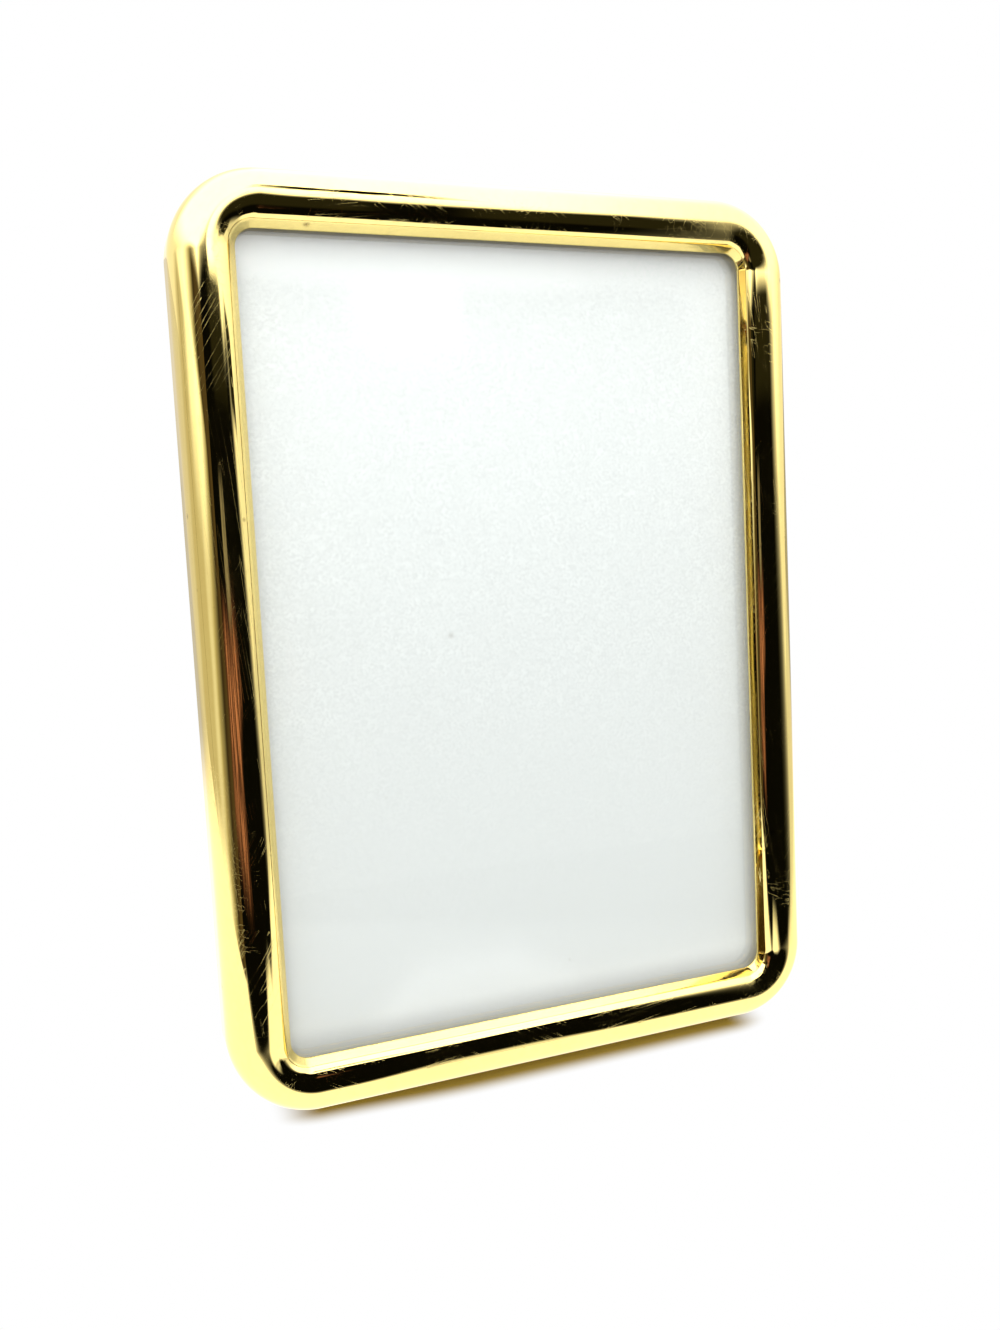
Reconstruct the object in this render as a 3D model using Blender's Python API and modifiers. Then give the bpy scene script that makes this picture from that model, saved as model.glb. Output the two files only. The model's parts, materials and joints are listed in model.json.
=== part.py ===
"""A small brass photo frame with a pressed, domed moulding and a velvet-covered easel back.

Metres, +Z up. The frame faces -Y and leans back on its strut, with its base edge and the strut's foot
on Z = 0 and its middle at X = 0. In the frame's own datum, Z runs up the frame from its base edge, X to
the right and -Y out of the front. Depths there are measured forwards from the moulding's back edge.
"""

import math

import bmesh
import bpy
from mathutils import Matrix

MM = 0.001

# Clearances
SEAT_GAP = 0.3 * MM
REBATE_FIT = 0.3 * MM
PIN_CLEARANCE = 0.08 * MM
HOLE_CLEARANCE = 0.1 * MM

# How far a cutter runs past what it cuts, and how far a joined piece is let in
CUT_MARGIN = 5.0 * MM
JOIN_OVERLAP = 0.05 * MM

# The print that the frame takes, and how far the moulding laps over it
PRINT_WIDTH = 89.0 * MM
PRINT_HEIGHT = 127.0 * MM
SIDE_LAP = 3.5 * MM
END_LAP = 3.0 * MM

# Moulding, pressed from one sheet
MOULDING_WIDTH = 9.0 * MM
MOULDING_DEPTH = 10.5 * MM
WALL_HEIGHT = 3.1 * MM
CROWN_INSET = 4.5 * MM
CORNER_RADIUS = 13.0 * MM
SHEET = 0.6 * MM
HEM_RADIUS = 0.45 * MM
HEM_DEPTH = 7.2 * MM
HEM_RETURN = 1.6 * MM

# What lies behind the hem, front to back
GLASS_THICKNESS = 1.5 * MM
CARD_THICKNESS = 0.4 * MM
BOARD_THICKNESS = 2.4 * MM
VELVET_THICKNESS = 0.5 * MM
BOARD_CORNER_RADIUS = 1.5 * MM

# Wooden strips in the dome
STRIP_END_GAP = 1.0 * MM
STRIP_SHOULDER = math.radians(60)

# Turn-buttons and their screws
BUTTON_SPACING = 70.0 * MM
BUTTON_THICKNESS = 0.6 * MM
BUTTON_REACH = 8.0 * MM
BUTTON_TIP_RADIUS = 1.5 * MM
BUTTON_MARGIN = 0.1 * MM
SCREW_SHANK_RADIUS = 0.75 * MM
SCREW_HEAD_RADIUS = 1.7 * MM
SCREW_HEAD_HEIGHT = 0.9 * MM
SCREW_HEAD_EDGE = 0.3 * MM
SCREW_LENGTH = 5.5 * MM
SCREW_POINT = 1.2 * MM
SCREW_SLOT_WIDTH = 0.45 * MM
SCREW_SLOT_DEPTH = 0.4 * MM

# Easel: how the frame leans, and the strut
LEAN = math.radians(16)
STRUT_OPENING = math.radians(28)
HINGE_DROP = 38.0 * MM
STRUT_THICKNESS = 1.6 * MM
STRUT_TOP_WIDTH = 22.0 * MM
STRUT_FOOT_WIDTH = 34.0 * MM
STRUT_CORNER_RADIUS = 2.5 * MM

# Hinge of the strut
LEAF_THICKNESS = 0.6 * MM
LEAF_WIDTH = 18.0 * MM
LEAF_LENGTH = 14.0 * MM
LEAF_STEP_RUN = 1.5 * MM
KNUCKLE_WIDTH = 8.0 * MM
PIN_RADIUS = 0.75 * MM
PIN_OVERHANG = 0.4 * MM
PIN_CHAMFER = 0.25 * MM
STOP_TAB_WIDTH = 6.0 * MM
STOP_TAB_LENGTH = 8.0 * MM

# Rivets of the two leaves
RIVET_RADIUS = 0.8 * MM
RIVET_HEAD_RADIUS = 1.6 * MM
RIVET_HEAD_HEIGHT = 0.6 * MM
RIVET_CLINCH_RADIUS = 1.4 * MM
RIVET_CLINCH_THICKNESS = 0.35 * MM
RIVET_SINK = 0.55 * MM
BACK_RIVET_SPACING = 13.0 * MM
STRUT_RIVET_SPACING = 10.0 * MM
RIVET_INSET = 5.0 * MM

# Fineness of the curves
DOME_STEPS = 10
HEM_STEPS = 6
CORNER_STEPS = 12
ROUND_STEPS = 32
SMALL_STEPS = 24
ARC_STEPS = 6

# Points closer than these are one point, faces flatter than this are one face, and an edge sharper than
# this shows
WELD = 0.001 * MM
MIRROR_WELD = 0.01 * MM
FLAT_ANGLE = math.radians(0.1)
SHARP_ANGLE = math.radians(40)

# Sizes that follow
FRAME_WIDTH = PRINT_WIDTH - 2 * SIDE_LAP + 2 * MOULDING_WIDTH
FRAME_HEIGHT = PRINT_HEIGHT - 2 * END_LAP + 2 * MOULDING_WIDTH
HEM_INSET = MOULDING_WIDTH - HEM_RADIUS
SIDE_REBATE = MOULDING_WIDTH - SIDE_LAP - REBATE_FIT
END_REBATE = MOULDING_WIDTH - END_LAP - REBATE_FIT
STRIP_OUTSIDE = SHEET + SEAT_GAP

# Depths of each layer's front face, from the moulding's back edge
GLASS_FRONT = HEM_DEPTH - HEM_RADIUS - SEAT_GAP
CARD_FRONT = GLASS_FRONT - GLASS_THICKNESS - SEAT_GAP
BOARD_FRONT = CARD_FRONT - CARD_THICKNESS - SEAT_GAP
VELVET_FRONT = BOARD_FRONT - BOARD_THICKNESS - SEAT_GAP
BACK_FACE = VELVET_FRONT - VELVET_THICKNESS
LEAF_FRONT = BACK_FACE - SEAT_GAP
BUTTON_FRONT = BACK_FACE - SEAT_GAP
STRUT_FRONT = min(0, BACK_FACE) - SEAT_GAP
STRUT_VELVET_FRONT = STRUT_FRONT - STRUT_THICKNESS - SEAT_GAP
STRUT_LEAF_FRONT = STRUT_VELVET_FRONT - VELVET_THICKNESS - SEAT_GAP

# The knuckles reach from the stop tab's plane to the outside of the strut's leaf
STOP_PLANE = LEAF_FRONT - LEAF_THICKNESS - SEAT_GAP
KNUCKLE_RADIUS = (STOP_PLANE - STRUT_LEAF_FRONT + LEAF_THICKNESS) / 2
PIN_DEPTH = STOP_PLANE - KNUCKLE_RADIUS
HINGE_HEIGHT = FRAME_HEIGHT - HINGE_DROP
BORE_RADIUS = PIN_RADIUS + PIN_CLEARANCE
LEAF_STEP_START = KNUCKLE_RADIUS + SEAT_GAP
LEAF_STEP_END = LEAF_STEP_START + LEAF_STEP_RUN
STRUT_TOP = KNUCKLE_RADIUS + SEAT_GAP
STRUT_LENGTH = (HINGE_HEIGHT * math.cos(LEAN) + PIN_DEPTH * math.sin(LEAN)) / math.cos(STRUT_OPENING - LEAN)

# Turns of an outline drawn in XY: onto the frame's face, and onto its side with X up and Y forwards
FACE_ON = Matrix.Rotation(math.radians(90), 4, "X")
SIDE_ON = Matrix(((0, 0, 1, 0), (0, -1, 0, 0), (1, 0, 0, 0), (0, 0, 0, 1)))
BACKWARDS = (math.radians(-90), 0, 0)


def clear_scene():
    for obj in list(bpy.data.objects):
        bpy.data.objects.remove(obj, do_unlink=True)


def new_collection(name):
    collection = bpy.data.collections.new(name)
    bpy.context.scene.collection.children.link(collection)
    return collection


def new_material(name, colour, roughness, metallic=0.0, alpha=1.0):
    material = bpy.data.materials.new(name)
    material.use_nodes = True
    shader = material.node_tree.nodes["Principled BSDF"]
    shader.inputs["Base Color"].default_value = (*colour, 1)
    shader.inputs["Roughness"].default_value = roughness
    shader.inputs["Metallic"].default_value = metallic
    shader.inputs["Alpha"].default_value = alpha
    material.diffuse_color = (*colour, alpha)
    return material


def new_empty(name, collection, parent=None, location=(0, 0, 0), rotation=(0, 0, 0)):
    empty = bpy.data.objects.new(name, None)
    empty.empty_display_size = CORNER_RADIUS
    empty.parent = parent
    empty.location = location
    empty.rotation_euler = rotation
    collection.objects.link(empty)
    return empty


def place(name, mesh, collection, parent, location, rotation=(0, 0, 0)):
    obj = bpy.data.objects.new(name, mesh)
    obj.parent = parent
    obj.location = location
    obj.rotation_euler = rotation
    collection.objects.link(obj)
    return obj


def finish_part(obj, material, smooth_angle=None):
    """Give a part its material, and shade it smooth up to an angle where it is round."""
    obj.data.materials.append(material)
    if smooth_angle is not None:
        obj.data.shade_smooth()
        obj.data.set_sharp_from_angle(angle=smooth_angle)
    return obj


def finish_cutter(obj):
    obj.hide_render = True
    obj.display_type = "WIRE"
    return obj


def cut(obj, *cutters, operation="DIFFERENCE"):
    for cutter in cutters:
        boolean = obj.modifiers.new(cutter.name, "BOOLEAN")
        boolean.operation = operation
        boolean.object = cutter


def arc(centre, radii, start, end, steps):
    """Points along an ellipse's arc, both ends included."""
    points = []
    for i in range(steps + 1):
        angle = start + (end - start) * i / steps
        points.append((centre[0] + radii[0] * math.cos(angle), centre[1] + radii[1] * math.sin(angle)))
    return points


def circle(radius, steps):
    return arc((0, 0), (radius, radius), 0, 2 * math.pi * (steps - 1) / steps, steps - 1)


def rounded_rectangle(width, height, radius):
    """A rectangle about the origin, anticlockwise from its right side."""
    points = []
    for quarter, (side_x, side_y) in enumerate(((1, 1), (-1, 1), (-1, -1), (1, -1))):
        centre = (side_x * (width / 2 - radius), side_y * (height / 2 - radius))
        start = quarter * math.pi / 2
        points += arc(centre, (radius, radius), start, start + math.pi / 2, ARC_STEPS)
    return points


def plate_mesh(name, outlines, thickness, turn=FACE_ON):
    """A plate from closed outlines, the first its edge and the others holes, centred on its thickness."""
    curve = bpy.data.curves.new(name, "CURVE")
    curve.dimensions = "2D"
    curve.fill_mode = "BOTH"
    curve.extrude = thickness / 2
    for outline in outlines:
        spline = curve.splines.new("POLY")
        spline.points.add(len(outline) - 1)
        for point, (x, y) in zip(spline.points, outline):
            point.co = (x, y, 0, 1)
        spline.use_cyclic_u = True
    flat = bpy.data.objects.new(name, curve)
    bpy.context.scene.collection.objects.link(flat)
    mesh = bpy.data.meshes.new_from_object(flat.evaluated_get(bpy.context.evaluated_depsgraph_get()))
    bpy.data.objects.remove(flat)
    bpy.data.curves.remove(curve)
    mesh.name = name
    shape = bmesh.new()
    shape.from_mesh(mesh)
    bmesh.ops.remove_doubles(shape, verts=shape.verts, dist=WELD)
    bmesh.ops.dissolve_limit(shape, angle_limit=FLAT_ANGLE, verts=shape.verts, edges=shape.edges)
    bmesh.ops.transform(shape, matrix=turn, verts=shape.verts)
    shape.to_mesh(mesh)
    shape.free()
    return mesh


def box_mesh(name, low, high):
    """A box between two corners."""
    mesh = bpy.data.meshes.new(name)
    shape = bmesh.new()
    bmesh.ops.create_cube(shape, size=1)
    sides = [b - a for a, b in zip(low, high)]
    middle = [(a + b) / 2 for a, b in zip(low, high)]
    bmesh.ops.scale(shape, vec=sides, verts=shape.verts)
    bmesh.ops.translate(shape, vec=middle, verts=shape.verts)
    shape.to_mesh(mesh)
    shape.free()
    return mesh


def turned(name, profile, collection, parent, location, rotation, steps=SMALL_STEPS):
    """A turned piece from (radius, height) points that run down its outside, about its own Z."""
    mesh = bpy.data.meshes.new(name)
    mesh.from_pydata([(r, 0, z) for r, z in profile], [(i, i + 1) for i in range(len(profile) - 1)], [])
    obj = place(name, mesh, collection, parent, location, rotation)
    screw = obj.modifiers.new("turn", "SCREW")
    screw.axis = "Z"
    screw.angle = 2 * math.pi
    screw.steps = steps
    screw.render_steps = steps
    screw.use_merge_vertices = True
    screw.merge_threshold = WELD
    return obj


def moulding_profile():
    """The pressed sheet's closed section, as (inset from the outer edge, depth) points."""
    rise = MOULDING_DEPTH - WALL_HEIGHT
    run_in = HEM_INSET - CROWN_INSET
    fall = MOULDING_DEPTH - HEM_DEPTH - HEM_RADIUS
    hem_back = HEM_DEPTH - HEM_RADIUS
    quarter = math.pi / 2
    shoulder = (CROWN_INSET, WALL_HEIGHT)
    slope = (CROWN_INSET, MOULDING_DEPTH - fall)
    outside = [(0, 0)]
    outside += arc(shoulder, (CROWN_INSET, rise), math.pi, quarter, DOME_STEPS)
    outside += arc(slope, (run_in, fall), quarter, 0, DOME_STEPS)[1:]
    hem = arc((HEM_INSET, HEM_DEPTH), (HEM_RADIUS, HEM_RADIUS), quarter, -quarter, HEM_STEPS)[1:]
    hem += [(HEM_INSET - HEM_RETURN, hem_back), (HEM_INSET - HEM_RETURN, hem_back + SHEET)]
    hem += [(HEM_INSET - SHEET, hem_back + SHEET)]
    inside = arc(slope, (run_in - SHEET, fall - SHEET), 0, quarter, DOME_STEPS)
    inside += arc(shoulder, (CROWN_INSET - SHEET, rise - SHEET), quarter, math.pi, DOME_STEPS)[1:]
    inside += [(SHEET, 0)]
    return outside + hem + inside


def make_moulding(parts, datum, material):
    """A quarter of the moulding, run along half of two sides and round one corner, mirrored twice."""
    half_width = FRAME_WIDTH / 2
    half_height = FRAME_HEIGHT / 2
    shape = bmesh.new()
    section = [shape.verts.new((0, -depth, half_height - inset)) for inset, depth in moulding_profile()]
    run = [shape.edges.new((a, b)) for a, b in zip(section, section[1:] + section[:1])]

    def run_straight(edges, step):
        made = bmesh.ops.extrude_edge_only(shape, edges=edges)["geom"]
        ends = [item for item in made if isinstance(item, bmesh.types.BMVert)]
        bmesh.ops.translate(shape, vec=step, verts=ends)
        return [item for item in made if isinstance(item, bmesh.types.BMEdge) and
                item.verts[0] in ends and item.verts[1] in ends]

    run = run_straight(run, (half_width - CORNER_RADIUS, 0, 0))
    corner = (half_width - CORNER_RADIUS, 0, half_height - CORNER_RADIUS)
    ring = list({vert for edge in run for vert in edge.verts})
    spun = bmesh.ops.spin(shape, geom=ring + run, cent=corner, axis=(0, 1, 0), angle=math.pi / 2,
                          steps=CORNER_STEPS, use_merge=False, use_duplicate=False)["geom_last"]
    run = [item for item in spun if isinstance(item, bmesh.types.BMEdge)]
    run_straight(run, (0, 0, CORNER_RADIUS - half_height))
    bmesh.ops.recalc_face_normals(shape, faces=shape.faces)
    top_face = max(shape.faces, key=lambda face: face.calc_center_median().z)
    if top_face.normal.z < 0:
        bmesh.ops.reverse_faces(shape, faces=shape.faces)
    mesh = bpy.data.meshes.new("moulding_shell")
    shape.to_mesh(mesh)
    shape.free()
    shell = place("moulding_shell", mesh, parts, datum, (0, 0, half_height))
    mirror = shell.modifiers.new("other_quarters", "MIRROR")
    mirror.use_axis = (True, False, True)
    mirror.merge_threshold = MIRROR_WELD
    return finish_part(shell, material, SHARP_ANGLE)


def print_sheet(name, thickness):
    """A square-cornered sheet of the print's size."""
    low = (-PRINT_WIDTH / 2, -thickness / 2, -PRINT_HEIGHT / 2)
    return box_mesh(name, low, [-value for value in low])


def print_plate(name, inset, thickness):
    """A sheet with round corners, smaller than the print by the inset all round."""
    radius = BOARD_CORNER_RADIUS + VELVET_THICKNESS - inset
    outline = rounded_rectangle(PRINT_WIDTH - 2 * inset, PRINT_HEIGHT - 2 * inset, radius)
    return plate_mesh(name, [outline], thickness)


def set_layer(mesh, front, back, collection, datum):
    """Place a sheet behind the hem, between two depths."""
    return place(mesh.name, mesh, collection, datum, (0, -(front + back) / 2, FRAME_HEIGHT / 2))


def make_print_layers(parts, datum, glass, paper):
    """The glass, and the plain card that stands in for a print."""
    pane = print_sheet("glass_pane", GLASS_THICKNESS)
    finish_part(set_layer(pane, GLASS_FRONT, GLASS_FRONT - GLASS_THICKNESS, parts, datum), glass)
    card = print_sheet("insert_card", CARD_THICKNESS)
    finish_part(set_layer(card, CARD_FRONT, CARD_FRONT - CARD_THICKNESS, parts, datum), paper)


def make_back(parts, cutters, datum, board_material, velvet_material):
    """The back board, and the velvet over its back and edges, open towards the card."""
    board_mesh = print_plate("back_board", VELVET_THICKNESS + SEAT_GAP, BOARD_THICKNESS)
    board = set_layer(board_mesh, BOARD_FRONT, BOARD_FRONT - BOARD_THICKNESS, parts, datum)
    finish_part(board, board_material)
    front = BOARD_FRONT - SEAT_GAP
    velvet_mesh = print_plate("back_velvet", 0, front - BACK_FACE)
    velvet = set_layer(velvet_mesh, front, BACK_FACE, parts, datum)
    pocket_front = front + CUT_MARGIN
    pocket_back = BACK_FACE + VELVET_THICKNESS
    pocket_mesh = print_plate("back_velvet_pocket", VELVET_THICKNESS, pocket_front - pocket_back)
    cut(velvet, finish_cutter(set_layer(pocket_mesh, pocket_front, pocket_back, cutters, datum)))
    finish_part(velvet, velvet_material)
    return board, velvet


def strip_section(rebate):
    """A filler strip's section, as (inset, depth): flat behind and inside, rounded as the dome outside."""
    run = CROWN_INSET - STRIP_OUTSIDE
    rise = MOULDING_DEPTH - WALL_HEIGHT - STRIP_OUTSIDE
    shoulder = arc((CROWN_INSET, WALL_HEIGHT), (run, rise), math.pi, math.pi - STRIP_SHOULDER, DOME_STEPS)
    return [(STRIP_OUTSIDE, BACK_FACE)] + shoulder + [(rebate, shoulder[-1][1]), (rebate, BACK_FACE)]


def make_strips(parts, datum, material):
    """The four strips, each as long as its straight side. Returns them by side."""
    strips = {}
    inset_from_end = CORNER_RADIUS + STRIP_END_GAP
    for side, sign in (("left", -1), ("right", 1)):
        name = f"filler_strip_{side}"
        section = strip_section(SIDE_REBATE)
        outline = [(sign * (FRAME_WIDTH / 2 - inset), -depth) for inset, depth in section]
        length = FRAME_HEIGHT - 2 * inset_from_end
        mesh = plate_mesh(name, [outline], length, Matrix.Identity(4))
        strips[side] = finish_part(place(name, mesh, parts, datum, (0, 0, FRAME_HEIGHT / 2)), material)
    for side, sign in (("bottom", -1), ("top", 1)):
        name = f"filler_strip_{side}"
        section = strip_section(END_REBATE)
        outline = [(sign * (FRAME_HEIGHT / 2 - inset), depth) for inset, depth in section]
        length = FRAME_WIDTH - 2 * inset_from_end
        mesh = plate_mesh(name, [outline], length, SIDE_ON)
        strips[side] = finish_part(place(name, mesh, parts, datum, (0, 0, FRAME_HEIGHT / 2)), material)
    return strips


def button_outline(head_radius, direction):
    """Two circles of unlike radius and their tangents: the head about the origin, and the tip."""
    spacing = BUTTON_REACH - BUTTON_TIP_RADIUS
    spread = math.pi / 2 - math.asin((head_radius - BUTTON_TIP_RADIUS) / spacing)
    head = arc((0, 0), (head_radius, head_radius), spread, 2 * math.pi - spread, 2 * ARC_STEPS)
    tip = arc((spacing, 0), (BUTTON_TIP_RADIUS, BUTTON_TIP_RADIUS), -spread, spread, 2 * ARC_STEPS)
    return [(direction * x, y) for x, y in head + tip]


def screw_profile():
    """A pan-head screw: its head stands above the button, its shank reaches into the strip."""
    rise = SCREW_HEAD_HEIGHT - SCREW_HEAD_EDGE
    crown = arc((0, SEAT_GAP + SCREW_HEAD_EDGE), (SCREW_HEAD_RADIUS, rise), math.pi / 2, 0, ARC_STEPS)
    crown[0] = (0, SEAT_GAP + SCREW_HEAD_HEIGHT)
    shank = [(SCREW_HEAD_RADIUS, SEAT_GAP), (SCREW_SHANK_RADIUS, SEAT_GAP)]
    shank += [(SCREW_SHANK_RADIUS, SCREW_POINT - SCREW_LENGTH), (0, -SCREW_LENGTH)]
    return crown + shank


def make_turn_buttons(parts, cutters, datum, strips, brass, steel):
    """Two buttons a side, each on its screw, with the screw's pilot hole in the strip behind."""
    strip_width = SIDE_REBATE - STRIP_OUTSIDE
    head_radius = strip_width / 2 - BUTTON_MARGIN
    pivot_inset = (SIDE_REBATE + STRIP_OUTSIDE) / 2
    hole_radius = SCREW_SHANK_RADIUS + HOLE_CLEARANCE
    half_slot = SCREW_SLOT_WIDTH / 2
    slot_floor = SEAT_GAP + SCREW_HEAD_HEIGHT - SCREW_SLOT_DEPTH
    slot_low = (-CUT_MARGIN, -half_slot, slot_floor)
    slot_high = (CUT_MARGIN, half_slot, slot_floor + CUT_MARGIN)
    pilot_end = -SCREW_LENGTH - SEAT_GAP
    pilot_profile = [(0, CUT_MARGIN), (hole_radius, CUT_MARGIN), (hole_radius, pilot_end), (0, pilot_end)]
    for side, sign in (("left", -1), ("right", 1)):
        for level, step in (("lower", -1), ("upper", 1)):
            x = sign * (FRAME_WIDTH / 2 - pivot_inset)
            z = (FRAME_HEIGHT + step * BUTTON_SPACING) / 2
            name = f"turn_button_{side}_{level}"
            outlines = [button_outline(head_radius, -sign), circle(hole_radius, SMALL_STEPS)]
            button = place(name, plate_mesh(name, outlines, BUTTON_THICKNESS), parts, datum,
                           (x, BUTTON_THICKNESS / 2 - BUTTON_FRONT, z))
            finish_part(button, brass)
            seat = (x, BUTTON_THICKNESS - BUTTON_FRONT, z)
            screw_name = f"turn_button_screw_{side}_{level}"
            screw = turned(screw_name, screw_profile(), parts, datum, seat, BACKWARDS)
            slot_mesh = box_mesh(f"{screw_name}_slot", slot_low, slot_high)
            cut(screw, finish_cutter(place(slot_mesh.name, slot_mesh, cutters, datum, seat, BACKWARDS)))
            finish_part(screw, steel, SHARP_ANGLE)
            pilot = turned(f"{screw_name}_pilot_hole", pilot_profile, cutters, datum, seat, BACKWARDS)
            cut(strips[side], finish_cutter(pilot))


def leaf_outline(rise):
    """A hinge leaf from its side, about the pin, as (up, forwards): the plate runs up from the top of the
    rolled knuckle, and steps forwards by the rise."""
    inner = KNUCKLE_RADIUS - LEAF_THICKNESS
    bend = LEAF_THICKNESS * math.tan(math.atan2(rise, LEAF_STEP_RUN) / 2)
    front = [(LEAF_LENGTH, KNUCKLE_RADIUS + rise), (LEAF_STEP_END, KNUCKLE_RADIUS + rise),
             (LEAF_STEP_START, KNUCKLE_RADIUS)]
    closing = 2 * math.pi + math.asin(inner / KNUCKLE_RADIUS)
    knuckle = arc((0, 0), (KNUCKLE_RADIUS, KNUCKLE_RADIUS), math.pi / 2, closing, SMALL_STEPS)
    back = [(LEAF_STEP_START + bend, inner), (LEAF_STEP_END + bend, inner + rise)]
    return front + knuckle + back + [(LEAF_LENGTH, inner + rise)]


def make_back_leaf(parts, cutters, hinge, material):
    """The leaf on the back board: two knuckles, and a gap for the strut's knuckle and stop tab."""
    rise = LEAF_FRONT - STOP_PLANE
    outlines = [leaf_outline(rise), circle(BORE_RADIUS, ROUND_STEPS)]
    leaf = place("hinge_back_leaf", plate_mesh("hinge_back_leaf", outlines, LEAF_WIDTH, SIDE_ON),
                 parts, hinge, (0, 0, 0))
    half_gap = KNUCKLE_WIDTH / 2 + SEAT_GAP
    gap_mesh = box_mesh("back_leaf_gap", (-half_gap, -CUT_MARGIN, -CUT_MARGIN),
                        (half_gap, CUT_MARGIN, LEAF_STEP_END + LEAF_THICKNESS))
    cut(leaf, finish_cutter(place("back_leaf_gap", gap_mesh, cutters, hinge, (0, 0, 0))))
    return finish_part(leaf, material, SHARP_ANGLE)


def make_strut_leaf(parts, cutters, pivot, material):
    """The leaf on the strut: one knuckle, and a tab that meets the back leaf when the strut is open."""
    half_turn = Matrix.Rotation(math.pi, 4, "X")
    outlines = [leaf_outline(0), circle(BORE_RADIUS, ROUND_STEPS)]
    mesh = plate_mesh("hinge_strut_leaf", outlines, LEAF_WIDTH, half_turn @ SIDE_ON)
    leaf = place("hinge_strut_leaf", mesh, parts, pivot, (0, 0, 0))
    for side, sign in (("left", -1), ("right", 1)):
        near = sign * KNUCKLE_WIDTH / 2
        far = sign * LEAF_WIDTH
        relief_mesh = box_mesh(f"strut_leaf_{side}_relief", (min(near, far), -CUT_MARGIN, -LEAF_STEP_START),
                               (max(near, far), CUT_MARGIN, CUT_MARGIN))
        relief = place(f"strut_leaf_{side}_relief", relief_mesh, cutters, pivot, (0, 0, 0))
        cut(leaf, finish_cutter(relief))
    tab_mesh = box_mesh("stop_tab", (-STOP_TAB_WIDTH / 2, JOIN_OVERLAP - KNUCKLE_RADIUS, 0),
                        (STOP_TAB_WIDTH / 2, LEAF_THICKNESS - KNUCKLE_RADIUS, STOP_TAB_LENGTH))
    tab = place("stop_tab", tab_mesh, cutters, pivot, (0, 0, 0), (-STRUT_OPENING, 0, 0))
    cut(leaf, finish_cutter(tab), operation="UNION")
    return finish_part(leaf, material, SHARP_ANGLE)


def make_pin(parts, hinge, material):
    """The hinge pin, through both leaves' knuckles."""
    end = LEAF_WIDTH / 2 + PIN_OVERHANG
    profile = [(0, end), (PIN_RADIUS - PIN_CHAMFER, end), (PIN_RADIUS, end - PIN_CHAMFER)]
    profile += [(radius, -height) for radius, height in reversed(profile)]
    pin = turned("hinge_pin", profile, parts, hinge, (0, 0, 0), (0, math.radians(90), 0), ROUND_STEPS)
    finish_part(pin, material, SHARP_ANGLE)


def make_rivet(name, layers, position, leaf_back, board_front, parts, cutters, parent, material):
    """A rivet from a leaf's back to a recess in the board's front, and its hole through the layers."""
    x, z = position
    seat = (x, -leaf_back, z)
    grip = board_front - leaf_back - RIVET_SINK
    head = arc((0, SEAT_GAP), (RIVET_HEAD_RADIUS, RIVET_HEAD_HEIGHT), math.pi / 2, 0, ARC_STEPS)
    head[0] = (0, SEAT_GAP + RIVET_HEAD_HEIGHT)
    clinch = -grip - (RIVET_SINK - RIVET_CLINCH_THICKNESS) / 2
    end = clinch - RIVET_CLINCH_THICKNESS
    tail = [(RIVET_RADIUS, SEAT_GAP), (RIVET_RADIUS, clinch), (RIVET_CLINCH_RADIUS, clinch)]
    tail += [(RIVET_CLINCH_RADIUS, end), (0, end)]
    finish_part(turned(name, head + tail, parts, parent, seat, BACKWARDS), material, SHARP_ANGLE)
    hole_radius = RIVET_RADIUS + HOLE_CLEARANCE
    recess_radius = RIVET_CLINCH_RADIUS + SEAT_GAP
    hole_profile = [(0, CUT_MARGIN), (hole_radius, CUT_MARGIN), (hole_radius, -grip)]
    hole_profile += [(recess_radius, depth) for depth in (-grip, -grip - CUT_MARGIN)]
    hole_profile += [(0, -grip - CUT_MARGIN)]
    hole = finish_cutter(turned(f"{name}_hole", hole_profile, cutters, parent, seat, BACKWARDS))
    for layer in layers:
        cut(layer, hole)


def strut_outline(inset, overrun=0.0):
    """The strut seen from behind, about the pin, drawn in by the inset and run on past its foot."""
    foot = -STRUT_LENGTH - CUT_MARGIN
    top = -STRUT_TOP - inset
    half_top = STRUT_TOP_WIDTH / 2 - inset
    flare = (STRUT_FOOT_WIDTH - STRUT_TOP_WIDTH) / 2 / (STRUT_LENGTH - STRUT_TOP)
    end = foot - overrun
    half_end = half_top + flare * (top - end)
    radius = STRUT_CORNER_RADIUS
    right = arc((half_top - radius, top - radius), (radius, radius), 0, math.pi / 2, ARC_STEPS)
    left = arc((radius - half_top, top - radius), (radius, radius), math.pi / 2, math.pi, ARC_STEPS)
    return [(half_end, end)] + right + left + [(-half_end, end)]


def local_y(depth):
    """A depth in the frame's datum, as Y about the pin."""
    return PIN_DEPTH - depth


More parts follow.
